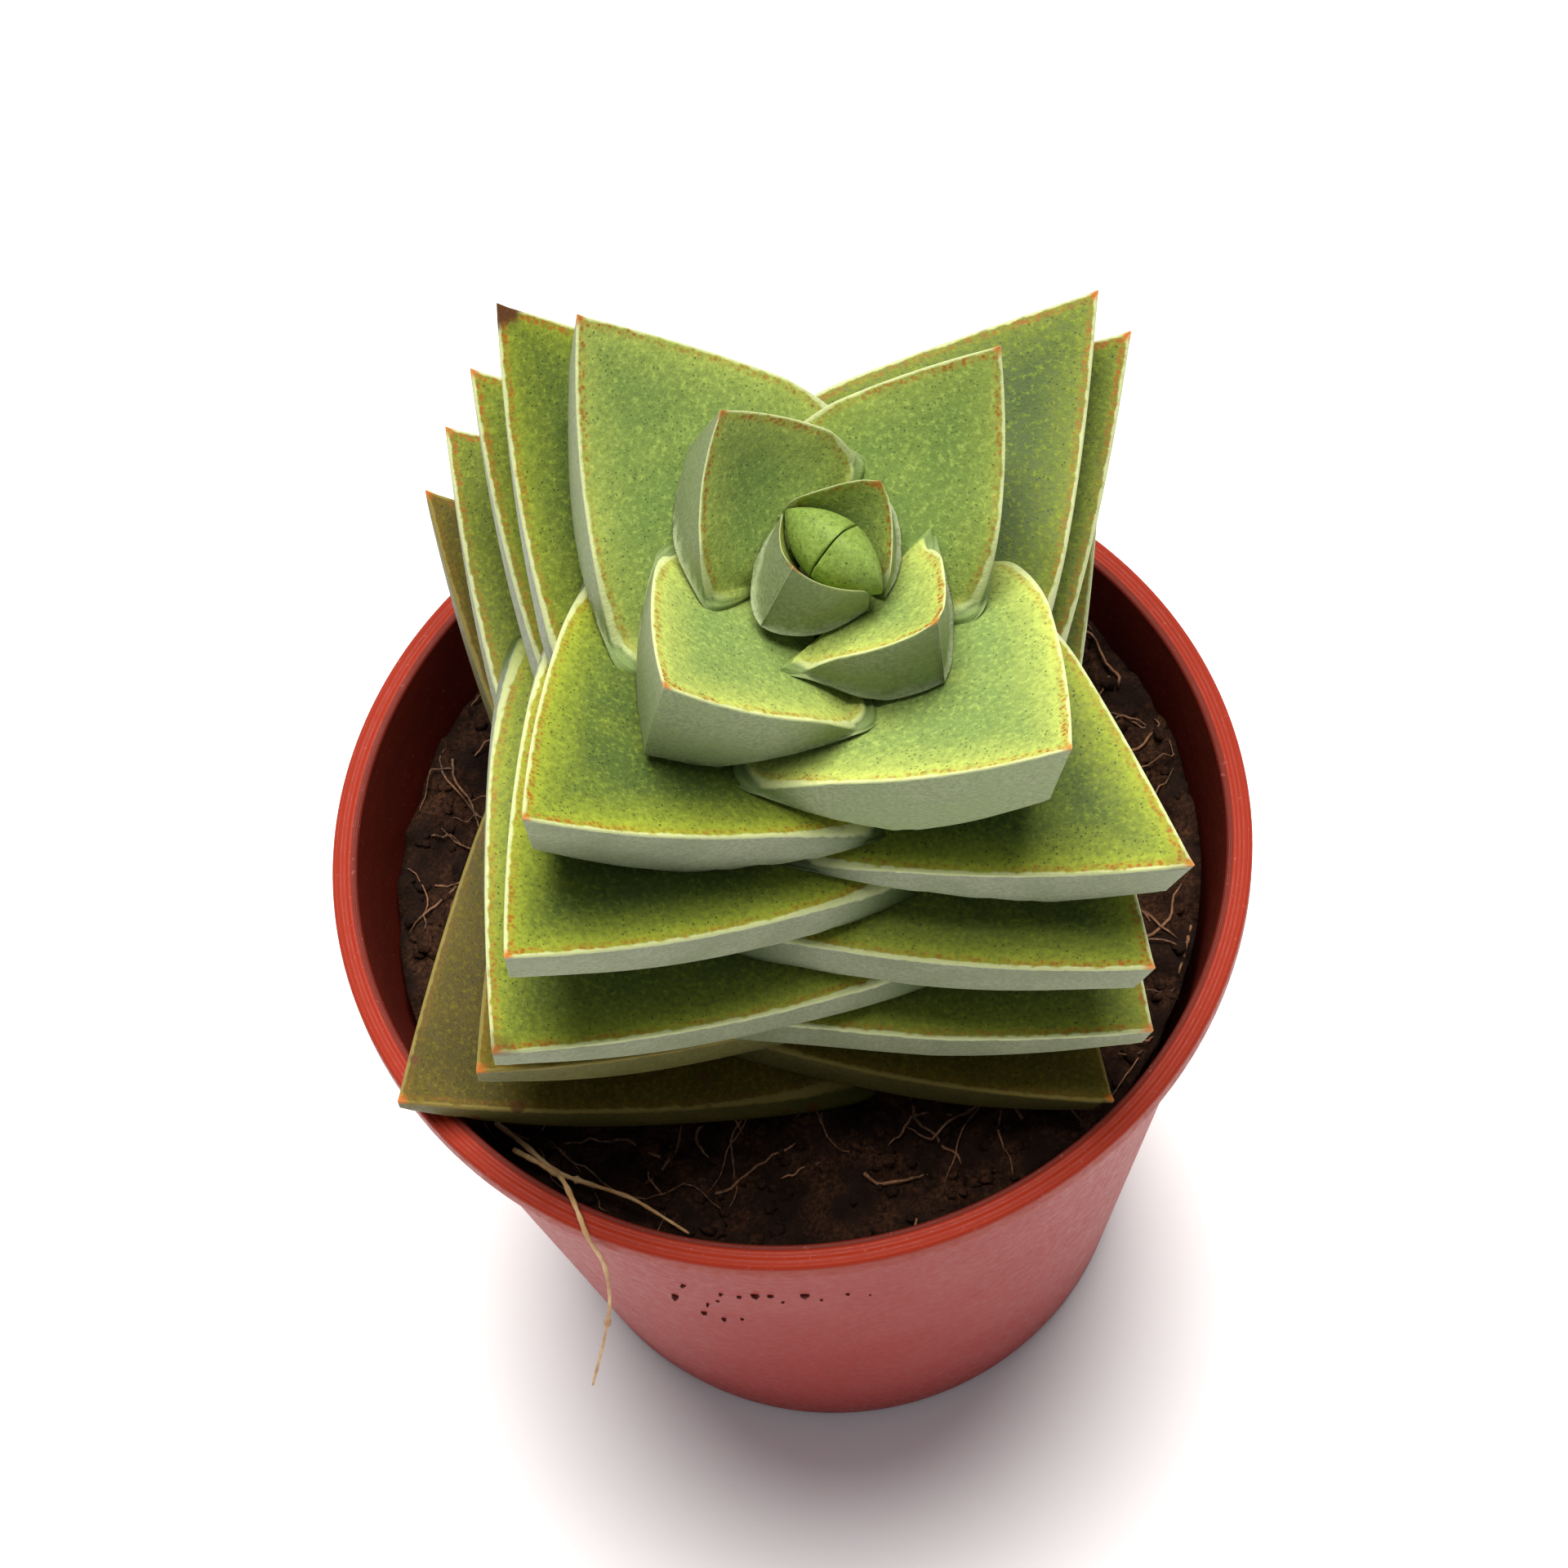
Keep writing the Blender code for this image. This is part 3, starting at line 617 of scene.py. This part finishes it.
# ---------------------------------------------------------------- leaves
# Fleshy three-sided leaves in crossed pairs, each grown in one piece: a broad pointed upper
# face with a crisp horny margin, steep flanks that meet in a keel, and rounded shoulders
# where the leaf clasps the stem under the next younger pair.
# One row for each pair, youngest first: height on the stem above the rim, blade length, pitch
# where the blade leaves the stem, pitch at the tip, greatest half width, depth of the keel,
# depth of the keel at the tip, outward flare of the flanks, cupping of the blade, and the
# power that its margins taper by.
PAIRS = {
    2: (35.4, 5.3, 61, 71, 3.3, 7.0, 6.3, 15, 2.2, 2.4),
    3: (34.4, 9.3, 33, 62, 6.2, 8.6, 7.6, 12, 1.3, 1.5),
    4: (32.3, 13.7, 26, 49, 7.7, 9.6, 8.8, 4, 0.6, 1.35),
    5: (29.8, 18.5, 20, 44, 10.2, 9.4, 7.6, 1, 0.5, 1.3),
    6: (27.0, 22.8, 10, 34, 11.0, 9.4, 6.8, -9, 0.4, 1.25),
    7: (24.5, 23.1, 5, 30, 11.6, 7.0, 5.2, -8, 0.3, 1.25),
    8: (22.2, 25.0, 3, 28, 12.2, 6.2, 4.8, -8, 0.3, 1.25),
    9: (18.9, 23.6, -1, 25, 12.6, 5.8, 4.2, -8, 0.3, 1.25),
    10: (15.3, 25.0, -4, 21, 14.4, 4.3, 2.7, -8, 0.2, 1.25),
    11: (11.6, 25.0, -6, 20, 14.6, 4.0, 2.4, -8, 0.2, 1.25),
    12: (7.8, 25.2, -7, 18, 13.4, 3.8, 1.9, -8, 0.2, 1.25),
    13: (3.7, 25.6, -8, 17, 12.4, 3.6, 1.5, -8, 0.2, 1.25),
    14: (0.4, 26.0, -10, 12, 14.6, 3.2, 1.1, -8, 0.2, 1.25),
}
RANKS = {"back_right": 0, "back_left": 1, "front_left": 2, "front_right": 3}
EVEN_RANKS = ("back_right", "front_left")
ODD_RANKS = ("back_left", "front_right")
# Leaves that differ from their pair: extra length, extra pitch, twist, width factor.
VARIATION = {
    (2, "back_right"): (-0.15, -3, 4, 1.05),
    (2, "front_left"): (0.0, 5.5, -3, 1.0),
    (3, "back_left"): (0.8, 5, -1, 1.0),
    (3, "front_right"): (-2.0, 0, -1, 1.1),
    (4, "back_right"): (1.0, 3, 3, 0.98),
    (4, "front_left"): (0.2, 2, -1, 1.0),
    (5, "back_left"): (0.4, 0, 0, 1.0),
    (5, "front_right"): (0.0, 7, -4, 1.03),
    (6, "front_left"): (-0.3, 7, -3, 1.0),
    (6, "back_right"): (0.2, -13, 3, 1.0),
    (7, "front_right"): (0.0, -4, 6, 0.96),
    (7, "back_left"): (0.2, 3, -1, 1.05),
    (8, "front_left"): (0.3, 3, 4, 1.03),
    (8, "back_right"): (-0.5, -2, -2, 0.97),
    (9, "front_right"): (0.5, -3, -1, 1.08),
    (9, "back_left"): (0.1, -1, 0, 0.93),
    (10, "front_left"): (0.3, -3, 5, 1.08),
    (11, "front_right"): (0.0, -3, 1, 1.1),
    (11, "back_left"): (0.2, -1, 0, 0.93),
    (12, "front_left"): (-1.0, -1, 1, 1.0),
    (13, "front_right"): (-0.7, -1, -2, 1.05),
    (13, "back_left"): (0.7, 1, 1, 0.92),
    (14, "front_left"): (0.2, 1, -8, 1.05),
    (14, "back_right"): (-2.8, 3, 2, 0.95),
}
BLADE_START = STEM_RADIUS + GAP
YOUNG_BLADE_START = 1.4
YOUNG_LEAST_REACH = 0.3
# Shoulders by pair: share of the length that they take up, and width at the stem as a share.
SHOULDERS = {3: (0.26, 0.42), 4: (0.26, 0.42), 5: (0.22, 0.45), 6: (0.2, 0.5)}
PLAIN_SHOULDER = (0.12, 0.62)
TIP_RADIUS = 0.3
CLASP = 0.45
SHOULDER_DROOP = 0.55
SHOULDER_THINNING = 0.92
LEAST_THICKNESS = 0.5
EDGE_RADIUS = 0.2
LEAF_ROWS = 84


def leaf_list():
    """Every leaf below the bud, oldest first: each blade is an arc whose pitch changes evenly."""
    leaves = []
    for pair in sorted(PAIRS, reverse=True):
        node, length, pitch_in, pitch_out, width, keel, keel_tip, flare, cup, taper = PAIRS[pair]
        for rank in EVEN_RANKS if pair % 2 == 0 else ODD_RANKS:
            longer, steeper, twist, wider = VARIATION.get((pair, rank), (0.0, 0.0, 0.0, 1.0))
            start = YOUNG_BLADE_START if pair == 2 else BLADE_START
            along = np.linspace(0.0, 1.0, 201)
            pitch_here = pitch_in + 0.6 * steeper + (pitch_out + 0.4 * steeper - pitch_in) * along
            pitch = np.radians(pitch_here)
            step = (length + longer) / 200.0
            middle = (pitch[1:] + pitch[:-1]) / 2.0
            leaves.append({
                "name": f"leaf_{pair:02d}_{rank}", "pair": pair, "rank": rank,
                "turn": np.radians(90.0 * RANKS[rank] + twist), "along": along, "pitch": pitch,
                "reach": start + np.concatenate([[0.0], np.cumsum(np.cos(middle))]) * step,
                "rise": node + np.concatenate([[0.0], np.cumsum(np.sin(middle))]) * step,
                "length": length + longer, "half_width": width * wider, "taper": taper,
                "keel": keel, "keel_tip": keel_tip, "flare": np.radians(flare), "cup": cup,
                "shoulder": SHOULDERS.get(pair, PLAIN_SHOULDER),
                "least_reach": YOUNG_LEAST_REACH if pair == 2 else BLADE_START - 0.1,
            })
    return leaves


def half_width(leaf, s):
    """Half width: one less the outer share to a power, times a round shoulder, with a round tip."""
    length, base = leaf["shoulder"]
    outer = np.clip((s - PLAIN_SHOULDER[0]) / (1.0 - PLAIN_SHOULDER[0]), 0.0, 1.0)
    inner = np.clip(s / length, 0.0, 1.0)
    shoulder = base + (1.0 - base) * np.sqrt(1.0 - (1.0 - inner) ** 2)
    straight = leaf["half_width"] * (1.0 - outer ** leaf["taper"]) * shoulder
    to_tip = np.maximum(1.0 - s, 0.0) * leaf["length"]
    tip = np.sqrt(2.0 * TIP_RADIUS * to_tip) + 0.6 * to_tip
    return np.minimum(straight, tip) + 0.02


def near_stem(s):
    """One at the stem, fading to nothing where the blade comes clear of its neighbours."""
    return np.clip(1.0 - s / CLASP, 0.0, 1.0) ** 1.5


def soft_max(a, b, blend):
    """Greater of two heights, rounded where they cross over a distance of blend."""
    return 0.5 * (a + b + np.sqrt((a - b) ** 2 + blend ** 2))


def ground_height(x, y, h):
    """Lowest height along the stem that clears the potting mix and the pot's rim."""
    world = to_world(x, y, h)
    radius = np.hypot(world[..., 0], world[..., 1])
    floor = soil_height(world[..., 0], world[..., 1]) + GAP
    inner_rim = RIM_RADIUS - LIP_OVERHANG - WALL
    over_rim = wave(radius, inner_rim - 1.5, inner_rim - 0.4)
    floor = floor + over_rim * np.maximum(RIM_HEIGHT + GAP - floor, 0.0)
    return (floor - RIM_HEIGHT - x * ACROSS[2] - y * BESIDE[2]) / ALONG[2]


def floor_under(leaf, leaves, x, y, h):
    """Height that clears the ground and the upper face of every older leaf."""
    floor = ground_height(x, y, h)
    pairs = sorted({other["pair"] for other in leaves if other["pair"] > leaf["pair"]}, reverse=True)
    for pair in pairs:
        tops = np.full(x.shape, -1000.0)
        for other in leaves:
            if other["pair"] != pair:
                continue
            c, s = np.cos(other["turn"]), np.sin(other["turn"])
            out = x * c + y * s
            own = np.interp(out, other["reach"], other["rise"])
            tops = np.maximum(tops, np.where(out > -BLADE_START / 2.0, own, -1000.0))
        floor = soft_max(floor, tops + GAP, 0.15)
    return floor


def ring_pattern(leaf, s):
    """One ring of a leaf for each s: over the face, down one flank, under the keel and up again.

    Gives the side position, the share of the keel depth and the drop round the margin.
    """
    width = half_width(leaf, s)[:, None]
    edge = np.minimum(EDGE_RADIUS + 1.4 * near_stem(s)[:, None], 0.45 * width)
    face = np.linspace(1.0, -1.0, 33)[None, :]
    face = 0.4 * np.sin(face * np.pi / 2.0) + 0.6 * face
    arc = np.linspace(0.0, np.pi / 2.0, 5)[None, 1:]
    wall = np.array([[0.12, 0.25, 0.4, 0.55, 0.68, 0.78]])
    wall_side = 1.0 + 0.03 * np.sin(wall * np.pi) - 0.05 * wall ** 3
    under = np.array([[0.92, 0.83, 0.68, 0.5, 0.25, 0.0]])
    under_share = np.array([[0.87, 0.93, 0.97, 0.99, 0.998, 1.0]])
    zero = 0.0 * width
    side = np.concatenate([width - edge + edge * np.sin(arc), width * wall_side, width * under], 1)
    share = np.concatenate([zero + 0.0 * arc, zero + wall, zero + under_share], 1)
    drop = np.concatenate([edge * (1.0 - np.cos(arc)), edge + 0.0 * wall, edge + 0.0 * under], 1)
    face_side = face * (width - edge)
    side = np.concatenate([face_side, -side, side[:, -2::-1]], 1)
    share = np.concatenate([0.0 * face_side, share, share[:, -2::-1]], 1)
    drop = np.concatenate([0.0 * face_side, drop, drop[:, -2::-1]], 1)
    return side, share, drop


def leaf_surface(leaf, leaves):
    """Points of a leaf and, for each, its distance inward from the margin, its distance from
    the tip, and the share of the way out from the stem.

    Each point is the blade's arc, cupped and drooped by its side position, then lowered by its
    share of the keel depth until it rests just above whatever lies beneath.
    """
    even = np.linspace(0.0, 1.0, LEAF_ROWS)
    rows = 1.0 - (1.0 - even) ** 1.5
    s = rows[:, None]
    side, share, drop = ring_pattern(leaf, rows)
    width = half_width(leaf, rows)[:, None]
    c = np.clip(np.abs(side) / width, 0.0, 1.0)
    reach = np.interp(s, leaf["along"], leaf["reach"])
    rise = np.interp(s, leaf["along"], leaf["rise"])
    pitch = np.interp(s, leaf["along"], leaf["pitch"])
    lift = leaf["cup"] * (side / leaf["half_width"]) ** 2
    blade = rise + lift * np.cos(pitch) - SHOULDER_DROOP * leaf["keel"] * near_stem(s) * c ** 3
    inward = np.clip((1.0 - s) / 0.35, 0.0, 1.0)
    keel = leaf["keel_tip"] + (leaf["keel"] - leaf["keel_tip"]) * (1.0 - (1.0 - inward) ** 2)
    depth = keel * share * (1.0 - SHOULDER_THINNING * near_stem(s) * c)
    out = reach - lift * np.sin(pitch) + depth * np.sin(leaf["flare"]) * np.clip(2.0 * s, 0.0, 1.0)
    out = soft_max(out, leaf["least_reach"], 0.2)
    turn = leaf["turn"]
    x = out * np.cos(turn) - side * np.sin(turn)
    y = out * np.sin(turn) + side * np.cos(turn)
    floor = floor_under(leaf, leaves, x, y, blade)
    face = soft_max(blade, floor + LEAST_THICKNESS, 0.2)
    low = soft_max(blade - drop - depth * np.cos(leaf["flare"]), floor, 0.1)
    h = np.where(share + drop > 0.0, np.minimum(low, face - drop), face)
    slope = np.gradient(width[:, 0], rows * leaf["length"])[:, None]
    half_face = np.max(np.where(share + drop > 0.0, 0.0, np.abs(side)), 1, keepdims=True)
    inside = half_face - np.abs(side)
    fold = 1.0 - 0.85 * near_stem(s)
    margin = np.where(share + drop > 0.0, (h - face) * fold, inside / np.sqrt(1.0 + slope ** 2))
    tip = np.hypot((1.0 - s) * leaf["length"], side)
    return to_world(x, y, h), margin, tip, s + 0.0 * side


def scaled(colour, *gains):
    """A colour times one gain, or times one gain for each of red, green and blue."""
    gains = gains * 3 if len(gains) == 1 else gains
    return tuple(min(1.0, value * gain) for value, gain in zip(colour, gains))


def leaf_face(finish, place, edge, centre, old_face):
    """Upper face, bright edge to deeper centre and finely dotted, with a painted glow along the margin and
    painted shade on the back ranks, and the colour it ages to.
    """
    fine, broad = finish.grain(0.3, 4.0, 0.65), finish.grain(4.0, 3.0)
    face = finish.mix(finish.step(place, 0.1, 3.4), edge, centre)
    # Painted light: a brighter band along the margin stands in for light shining through the thin edge from
    # behind.
    painted_glow = finish.step(place, 1.2, 0.1, 0.0, 0.5)
    painted_glow = finish.sum("MULTIPLY", painted_glow, finish.step(finish.read("along"), 0.06, 0.3))
    face = finish.mix(painted_glow, face, scaled(edge, 1.6, 1.5, 1.3))
    face = finish.mix(finish.step(broad, 0.4, 0.75, 0.0, 0.4), face, edge)
    # Painted shade: the faces of the ranks at the back are darkened by a share stored on each leaf.
    painted_shade = scaled(centre, 0.5, 0.62, 0.35)
    face = finish.mix(finish.sum("MULTIPLY", finish.read("painted_shade"), 0.5), face, painted_shade)
    aged = finish.mix(finish.step(broad, 0.3, 0.7), old_face, scaled(old_face, 0.6))
    face = finish.mix(finish.sum("MULTIPLY", finish.read("age"), 0.85), face, aged)
    dots = finish.step(finish.cells(0.3), 0.12, 0.26, 1.0, 0.0)
    dots = finish.sum("MULTIPLY", dots, finish.step(finish.grain(1.3, 3.0), 0.35, 0.6, 0.25, 0.9))
    dots = finish.sum("MULTIPLY", dots, finish.step(finish.read("margin_mm"), 0.0, 0.5))
    face = finish.mix(dots, face, scaled(centre, 0.3))
    face = finish.mix(finish.step(fine, 0.3, 0.55, 0.4, 0.0), face, scaled(centre, 0.55))
    return finish.mix(finish.step(fine, 0.5, 0.72, 0.0, 0.3), face, scaled(edge, 1.7)), aged


def leaf_flank(finish, flank, centre, aged):
    """Flanks: a greyish bloom blotched with green, and the face's deeper green near the stem."""
    powder = finish.step(finish.grain(0.22, 3.0), 0.3, 0.7)
    bloom = finish.mix(powder, scaled(flank, 0.78), scaled(flank, 1.15))
    green = tuple(0.5 * (f + c) for f, c in zip(flank, centre))
    bloom = finish.mix(finish.step(finish.grain(4.0, 3.0), 0.35, 0.7, 0.0, 0.5), bloom, green)
    bloom = finish.mix(finish.sum("MULTIPLY", finish.read("age"), 0.55), bloom, aged)
    return finish.mix(finish.step(finish.read("along"), 0.12, 0.42), scaled(centre, 0.8), bloom)


def rim_and_line(finish, skin, place, wander, rim, line, line_share):
    """Pale rim on the margin, partly the edge's own colour and partly a painted rim highlight, a broken
    reddish line just inside it and a blush at the tip.
    """
    inward, tip = finish.read("margin_mm"), finish.read("tip_mm")
    clear = finish.step(finish.read("along"), 0.06, 0.3)
    # The pale band along the margin: partly the edge's own colour and partly a painted highlight where light
    # catches the rounded edge.
    pale = finish.sum("MULTIPLY", finish.step(place, -0.3, -0.14), finish.step(place, 0.1, -0.02))
    pale = finish.sum("MULTIPLY", pale, finish.sum("MULTIPLY", clear, 0.65))
    skin = finish.mix(pale, skin, rim)
    red = finish.sum("MULTIPLY", finish.step(place, -0.02, 0.1), finish.step(place, 0.55, 0.28))
    red = finish.sum("MULTIPLY", red, finish.step(finish.cells(0.3), 0.3, 0.55, 1.0, 0.25))
    red = finish.sum("MULTIPLY", red, finish.step(finish.grain(3.0, 2.0), 0.3, 0.5, 0.3, 1.0))
    near = finish.sum("MULTIPLY", finish.step(tip, 9.0, 1.0, 0.6, 1.0), clear)
    red = finish.sum("MULTIPLY", finish.sum("MULTIPLY", red, near), line_share)
    skin = finish.mix(red, skin, line)
    blush = finish.step(finish.sum("ADD", tip, finish.sum("MULTIPLY", wander, 2.0)), 0.8, 0.2)
    blush = finish.sum("MULTIPLY", blush, finish.step(inward, -0.4, -0.05))
    return finish.mix(finish.sum("MULTIPLY", blush, 0.75), skin, TIP_RED)


def blemishes(finish, skin, wander):
    """Brown spots on old leaves, and dead brown skin at the tip of a scorched one."""
    inward, tip, age = finish.read("margin_mm"), finish.read("tip_mm"), finish.read("age")
    spots = finish.step(finish.cells(3.2), 0.1, 0.16, 1.0, 0.0)
    spots = finish.sum("MULTIPLY", spots, finish.step(age, 0.4, 1.0, 0.0, 0.8))
    skin = finish.mix(spots, skin, SPOT_BROWN)
    burnt = finish.step(finish.sum("ADD", tip, finish.sum("MULTIPLY", wander, 3.0)), 1.9, 0.9)
    below = finish.step(finish.sum("ADD", inward, wander), -0.9, -0.3)
    burnt = finish.sum("MULTIPLY", burnt, below)
    return finish.mix(finish.sum("MULTIPLY", burnt, finish.read("scorch")), skin, SCORCH_BROWN)


def leaf_skin(name, edge, centre, old_face, flank, rim, line, line_share):
    """Waxy leaf skin: a dotted face, a pale rim (partly a painted rim highlight) with a reddish line, and
    flanks with a bloom.

    Each zone starts at a distance inward from the margin, in millimetres, that wanders a little.
    """
    finish = Finish(name)
    inward = finish.read("margin_mm")
    wander = finish.sum("MULTIPLY", finish.sum("SUBTRACT", finish.grain(0.7, 4.0), 0.5), 0.34)
    place = finish.sum("ADD", inward, wander)
    face, aged = leaf_face(finish, place, edge, centre, old_face)
    bloom = leaf_flank(finish, flank, centre, aged)
    skin = finish.mix(finish.step(inward, -0.24, -0.06), bloom, face)
    skin = rim_and_line(finish, skin, place, wander, rim, line, line_share)
    skin = blemishes(finish, skin, wander)
    fine = finish.grain(0.3, 4.0, 0.65)
    normal = finish.relief(finish.grain(0.14, 3.0, 0.6), 0.03)
    normal = finish.relief(fine, 0.03, normal)
    normal = finish.relief(finish.grain(2.5, 2.0), 0.1, normal)
    return finish.set(
        base_color=skin, roughness=finish.step(fine, 0.3, 0.7, 0.42, 0.6), normal=normal,
        subsurface_weight=0.12, subsurface_radius=(0.8, 1.0, 0.3), subsurface_scale=0.0009,
        specular_ior_level=0.15,
    )


# Whitish rim of the younger leaves: a painted rim highlight.
PAINTED_RIM_HIGHLIGHT = (0.6, 0.63, 0.36)
RUST = (0.32, 0.09, 0.012)
TIP_RED = (0.5, 0.12, 0.02)
SPOT_BROWN = (0.09, 0.035, 0.008)
SCORCH_BROWN = (0.09, 0.035, 0.012)
young_skin = leaf_skin(
    "young_leaf", (0.37, 0.44, 0.1), (0.19, 0.275, 0.075), (0.2, 0.24, 0.03), (0.25, 0.29, 0.155),
    PAINTED_RIM_HIGHLIGHT, RUST, 0.9)
grown_skin = leaf_skin(
    "grown_leaf", (0.24, 0.29, 0.03), (0.075, 0.115, 0.025), (0.12, 0.13, 0.013), (0.26, 0.285, 0.185),
    PAINTED_RIM_HIGHLIGHT, RUST, 0.9)
old_skin = leaf_skin(
    "old_leaf", (0.15, 0.135, 0.012), (0.055, 0.06, 0.01), (0.085, 0.058, 0.005), (0.15, 0.15, 0.05),
    (0.26, 0.2, 0.05), (0.2, 0.08, 0.012), 0.6)
SKINS = {"young_leaf": young_skin, "grown_leaf": grown_skin, "old_leaf": old_skin}
# Painted shade: the faces of the ranks at the back are darker than those at the front, standing in for how
# the light falls on them.
PAINTED_SHADE_BY_RANK = {"back_left": 0.7, "back_right": 1.0}
SCORCHED = {(7, "back_left"): 1.0, (10, "front_left"): 0.5, (7, "front_right"): 0.25}

leaves = leaf_list()
for leaf in leaves:
    points, margin, tip, along = leaf_surface(leaf, leaves)
    slot = "young_leaf" if leaf["pair"] <= 5 else "grown_leaf" if leaf["pair"] <= 11 else "old_leaf"
    piece = add_piece(
        "grown_" + leaf["name"], points.reshape(-1, 3), loft_faces(*points.shape[:2]),
        SKINS[slot], [leaf["name"]],
    )
    add_attribute(piece, "margin_mm", margin)
    add_attribute(piece, "tip_mm", tip)
    add_attribute(piece, "along", along)
    # The share of painted shade for the leaf's rank.
    add_attribute(piece, "painted_shade", np.full(margin.shape, PAINTED_SHADE_BY_RANK.get(leaf["rank"], 0.0)))
    age = np.clip((leaf["pair"] - 5) / 9.0, 0.0, 1.0) ** 2
    add_attribute(piece, "age", np.full(margin.shape, age))
    add_attribute(piece, "scorch", np.full(margin.shape, SCORCHED.get((leaf["pair"], leaf["rank"]), 0.0)))

# ---------------------------------------------------------------- bud
# The youngest pair, still closed face to face into a pointed egg with a slit between the two.
BUD_BASE, BUD_TOP = 35.1, 39.7
BUD_HALF_LENGTH, BUD_HALF_WIDTH = 3.3, 1.8
BUD_SLIT = 0.05
BUD_SHIFT = (-0.05, -0.2)


def bud_half(turn):
    """Rings of half the bud: a half ellipse blended with two straight sides that meet in a keel,
    its lips parted a little near the tip, closed by a flat inner face beside the slit."""
    t = np.linspace(0.0, 1.0, 48)[:, None]
    t = 1.0 - (1.0 - t) ** 1.7
    upper = np.clip((t - 0.5) / 0.5, 0.0, 1.0)
    size = (1.0 - upper ** 2.1) ** 0.55 * (0.35 + 0.65 * wave(t, -0.15, 0.55)) + 0.01
    angle = np.linspace(-np.pi / 2.0, np.pi / 2.0, 41)[None, :]
    across = np.abs(np.sin(angle))
    keeled = 0.62 * np.cos(angle) + 0.38 * (1.0 - across) ** 0.9
    lips = 0.3 * wave(t, 0.7, 0.95) * wave(across, 0.25, 0.9)
    out = BUD_SLIT + lips * size + np.maximum(BUD_HALF_LENGTH * size - BUD_SLIT, 0.0) * keeled
    side = BUD_HALF_WIDTH * size * np.sin(angle)
    flat = np.linspace(0.9, -0.9, 13)[None, :]
    out = np.concatenate([out, 0.0 * size + BUD_SLIT + 0.0 * flat], 1)
    side = np.concatenate([side, BUD_HALF_WIDTH * size * flat], 1)
    h = BUD_BASE + (BUD_TOP - BUD_BASE) * t - 0.25 * wave(np.abs(side), 0.2, 1.6) * wave(t, 0.7, 1.0)
    x = out * np.cos(turn) - side * np.sin(turn) + BUD_SHIFT[0]
    y = out * np.sin(turn) + side * np.cos(turn) + BUD_SHIFT[1]
    edge = np.concatenate([size * (1.0 - np.abs(np.sin(angle))), 0.0 * size + 0.0 * flat], 1)
    return to_world(x, y, h), edge, (1.0 - t) * 4.0 + 0.0 * out


bud_skin = leaf_skin(
    "bud_skin", (0.2, 0.29, 0.055), (0.1, 0.17, 0.032), (0.2, 0.24, 0.03), (0.12, 0.17, 0.04),
    (0.45, 0.52, 0.2), RUST, 0.15)
for rank in ODD_RANKS:
    points, edge, tip = bud_half(np.radians(90.0 * RANKS[rank]))
    piece = add_piece(
        "bud_" + rank, points.reshape(-1, 3), loft_faces(*points.shape[:2]),
        bud_skin, [f"leaf_01_{rank}"],
    )
    add_attribute(piece, "margin_mm", edge + 0.3)
    add_attribute(piece, "tip_mm", tip + 1.4)
    add_attribute(piece, "along", 0.0 * edge)
    add_attribute(piece, "painted_shade", 0.0 * edge)
    add_attribute(piece, "age", 0.0 * edge)
    add_attribute(piece, "scorch", 0.0 * edge)

# ---------------------------------------------------------------- loose roots
# Two thin dry roots: one rises from the potting mix and hangs over the lip, one lies on the bed.
ROOT_RADIUS = 0.15
ROOT_SIDES = 10
KNOT_RADIUS = 0.12
KNOT_LENGTH = 0.012
HANGING_ROOT = (
    (-18.9, -15.3, 44.5), (-17.6, -16.6, 45.2), (-16.7, -17.8, 46.2), (-16.0, -19.4, 48.6),
    (-15.5, -21.1, 49.7), (-15.2, -22.3, 49.75), (-14.9, -23.5, 49.3), (-14.4, -24.0, 46.1),
    (-14.6, -24.1, 41.8), (-15.1, -24.0, 37.9), (-15.9, -23.9, 33.4), (-17.4, -23.5, 25.6),
)
LYING_ROOT = (
    (-19.8, -13.3, 44.3), (-18.3, -15.0, 44.4), (-16.6, -17.1, 44.6), (-14.9, -18.2, 44.7),
    (-12.6, -19.6, 45.0), (-11.2, -20.7, 44.8), (-9.4, -22.3, 44.6),
)


def smooth_path(corners, steps):
    """Catmull-Rom curve through the corners: each span blends its two neighbours' directions."""
    points = np.asarray(corners, float)
    points = np.concatenate([2.0 * points[:1] - points[1:2], points, 2.0 * points[-1:] - points[-2:-1]])
    t = np.linspace(0.0, 1.0, steps, endpoint=False)[:, None]
    spans = []
    for a, b, c, d in zip(points[:-3], points[1:-2], points[2:-1], points[3:]):
        spans.append(0.5 * (2.0 * b + (c - a) * t + (2.0 * a - 5.0 * b + 4.0 * c - d) * t ** 2
                            + (3.0 * b - a - 3.0 * c + d) * t ** 3))
    return np.concatenate(spans + [points[-2:-1]])


root = Finish("dry_root")
root_colour = root.mix(root.step(root.grain(1.8, 3.0), 0.3, 0.7), (0.34, 0.17, 0.06), (0.55, 0.36, 0.17))
root_skin = root.set(base_color=root_colour, roughness=0.7, normal=root.relief(root.grain(0.2, 3.0), 0.03))
for name, corners, knot in (("over_rim", HANGING_ROOT, 0.84), ("on_soil", LYING_ROOT, 0.45)):
    path = smooth_path(corners, 10)
    share = np.linspace(0.0, 1.0, len(path))
    uneven = 1.0 + 0.12 * np.sin(share * 41.0) + 0.1 * np.sin(share * 97.0 + 1.0)
    swelling = KNOT_RADIUS * np.exp(-((share - knot) / KNOT_LENGTH) ** 2)
    thick = ROOT_RADIUS * (1.1 - 0.55 * share ** 2) * uneven + swelling
    add_piece(
        "dry_root_" + name, tube(path, thick, ROOT_SIDES).reshape(-1, 3), loft_faces(len(path), ROOT_SIDES),
        root_skin, ["loose_root_" + name],
    )
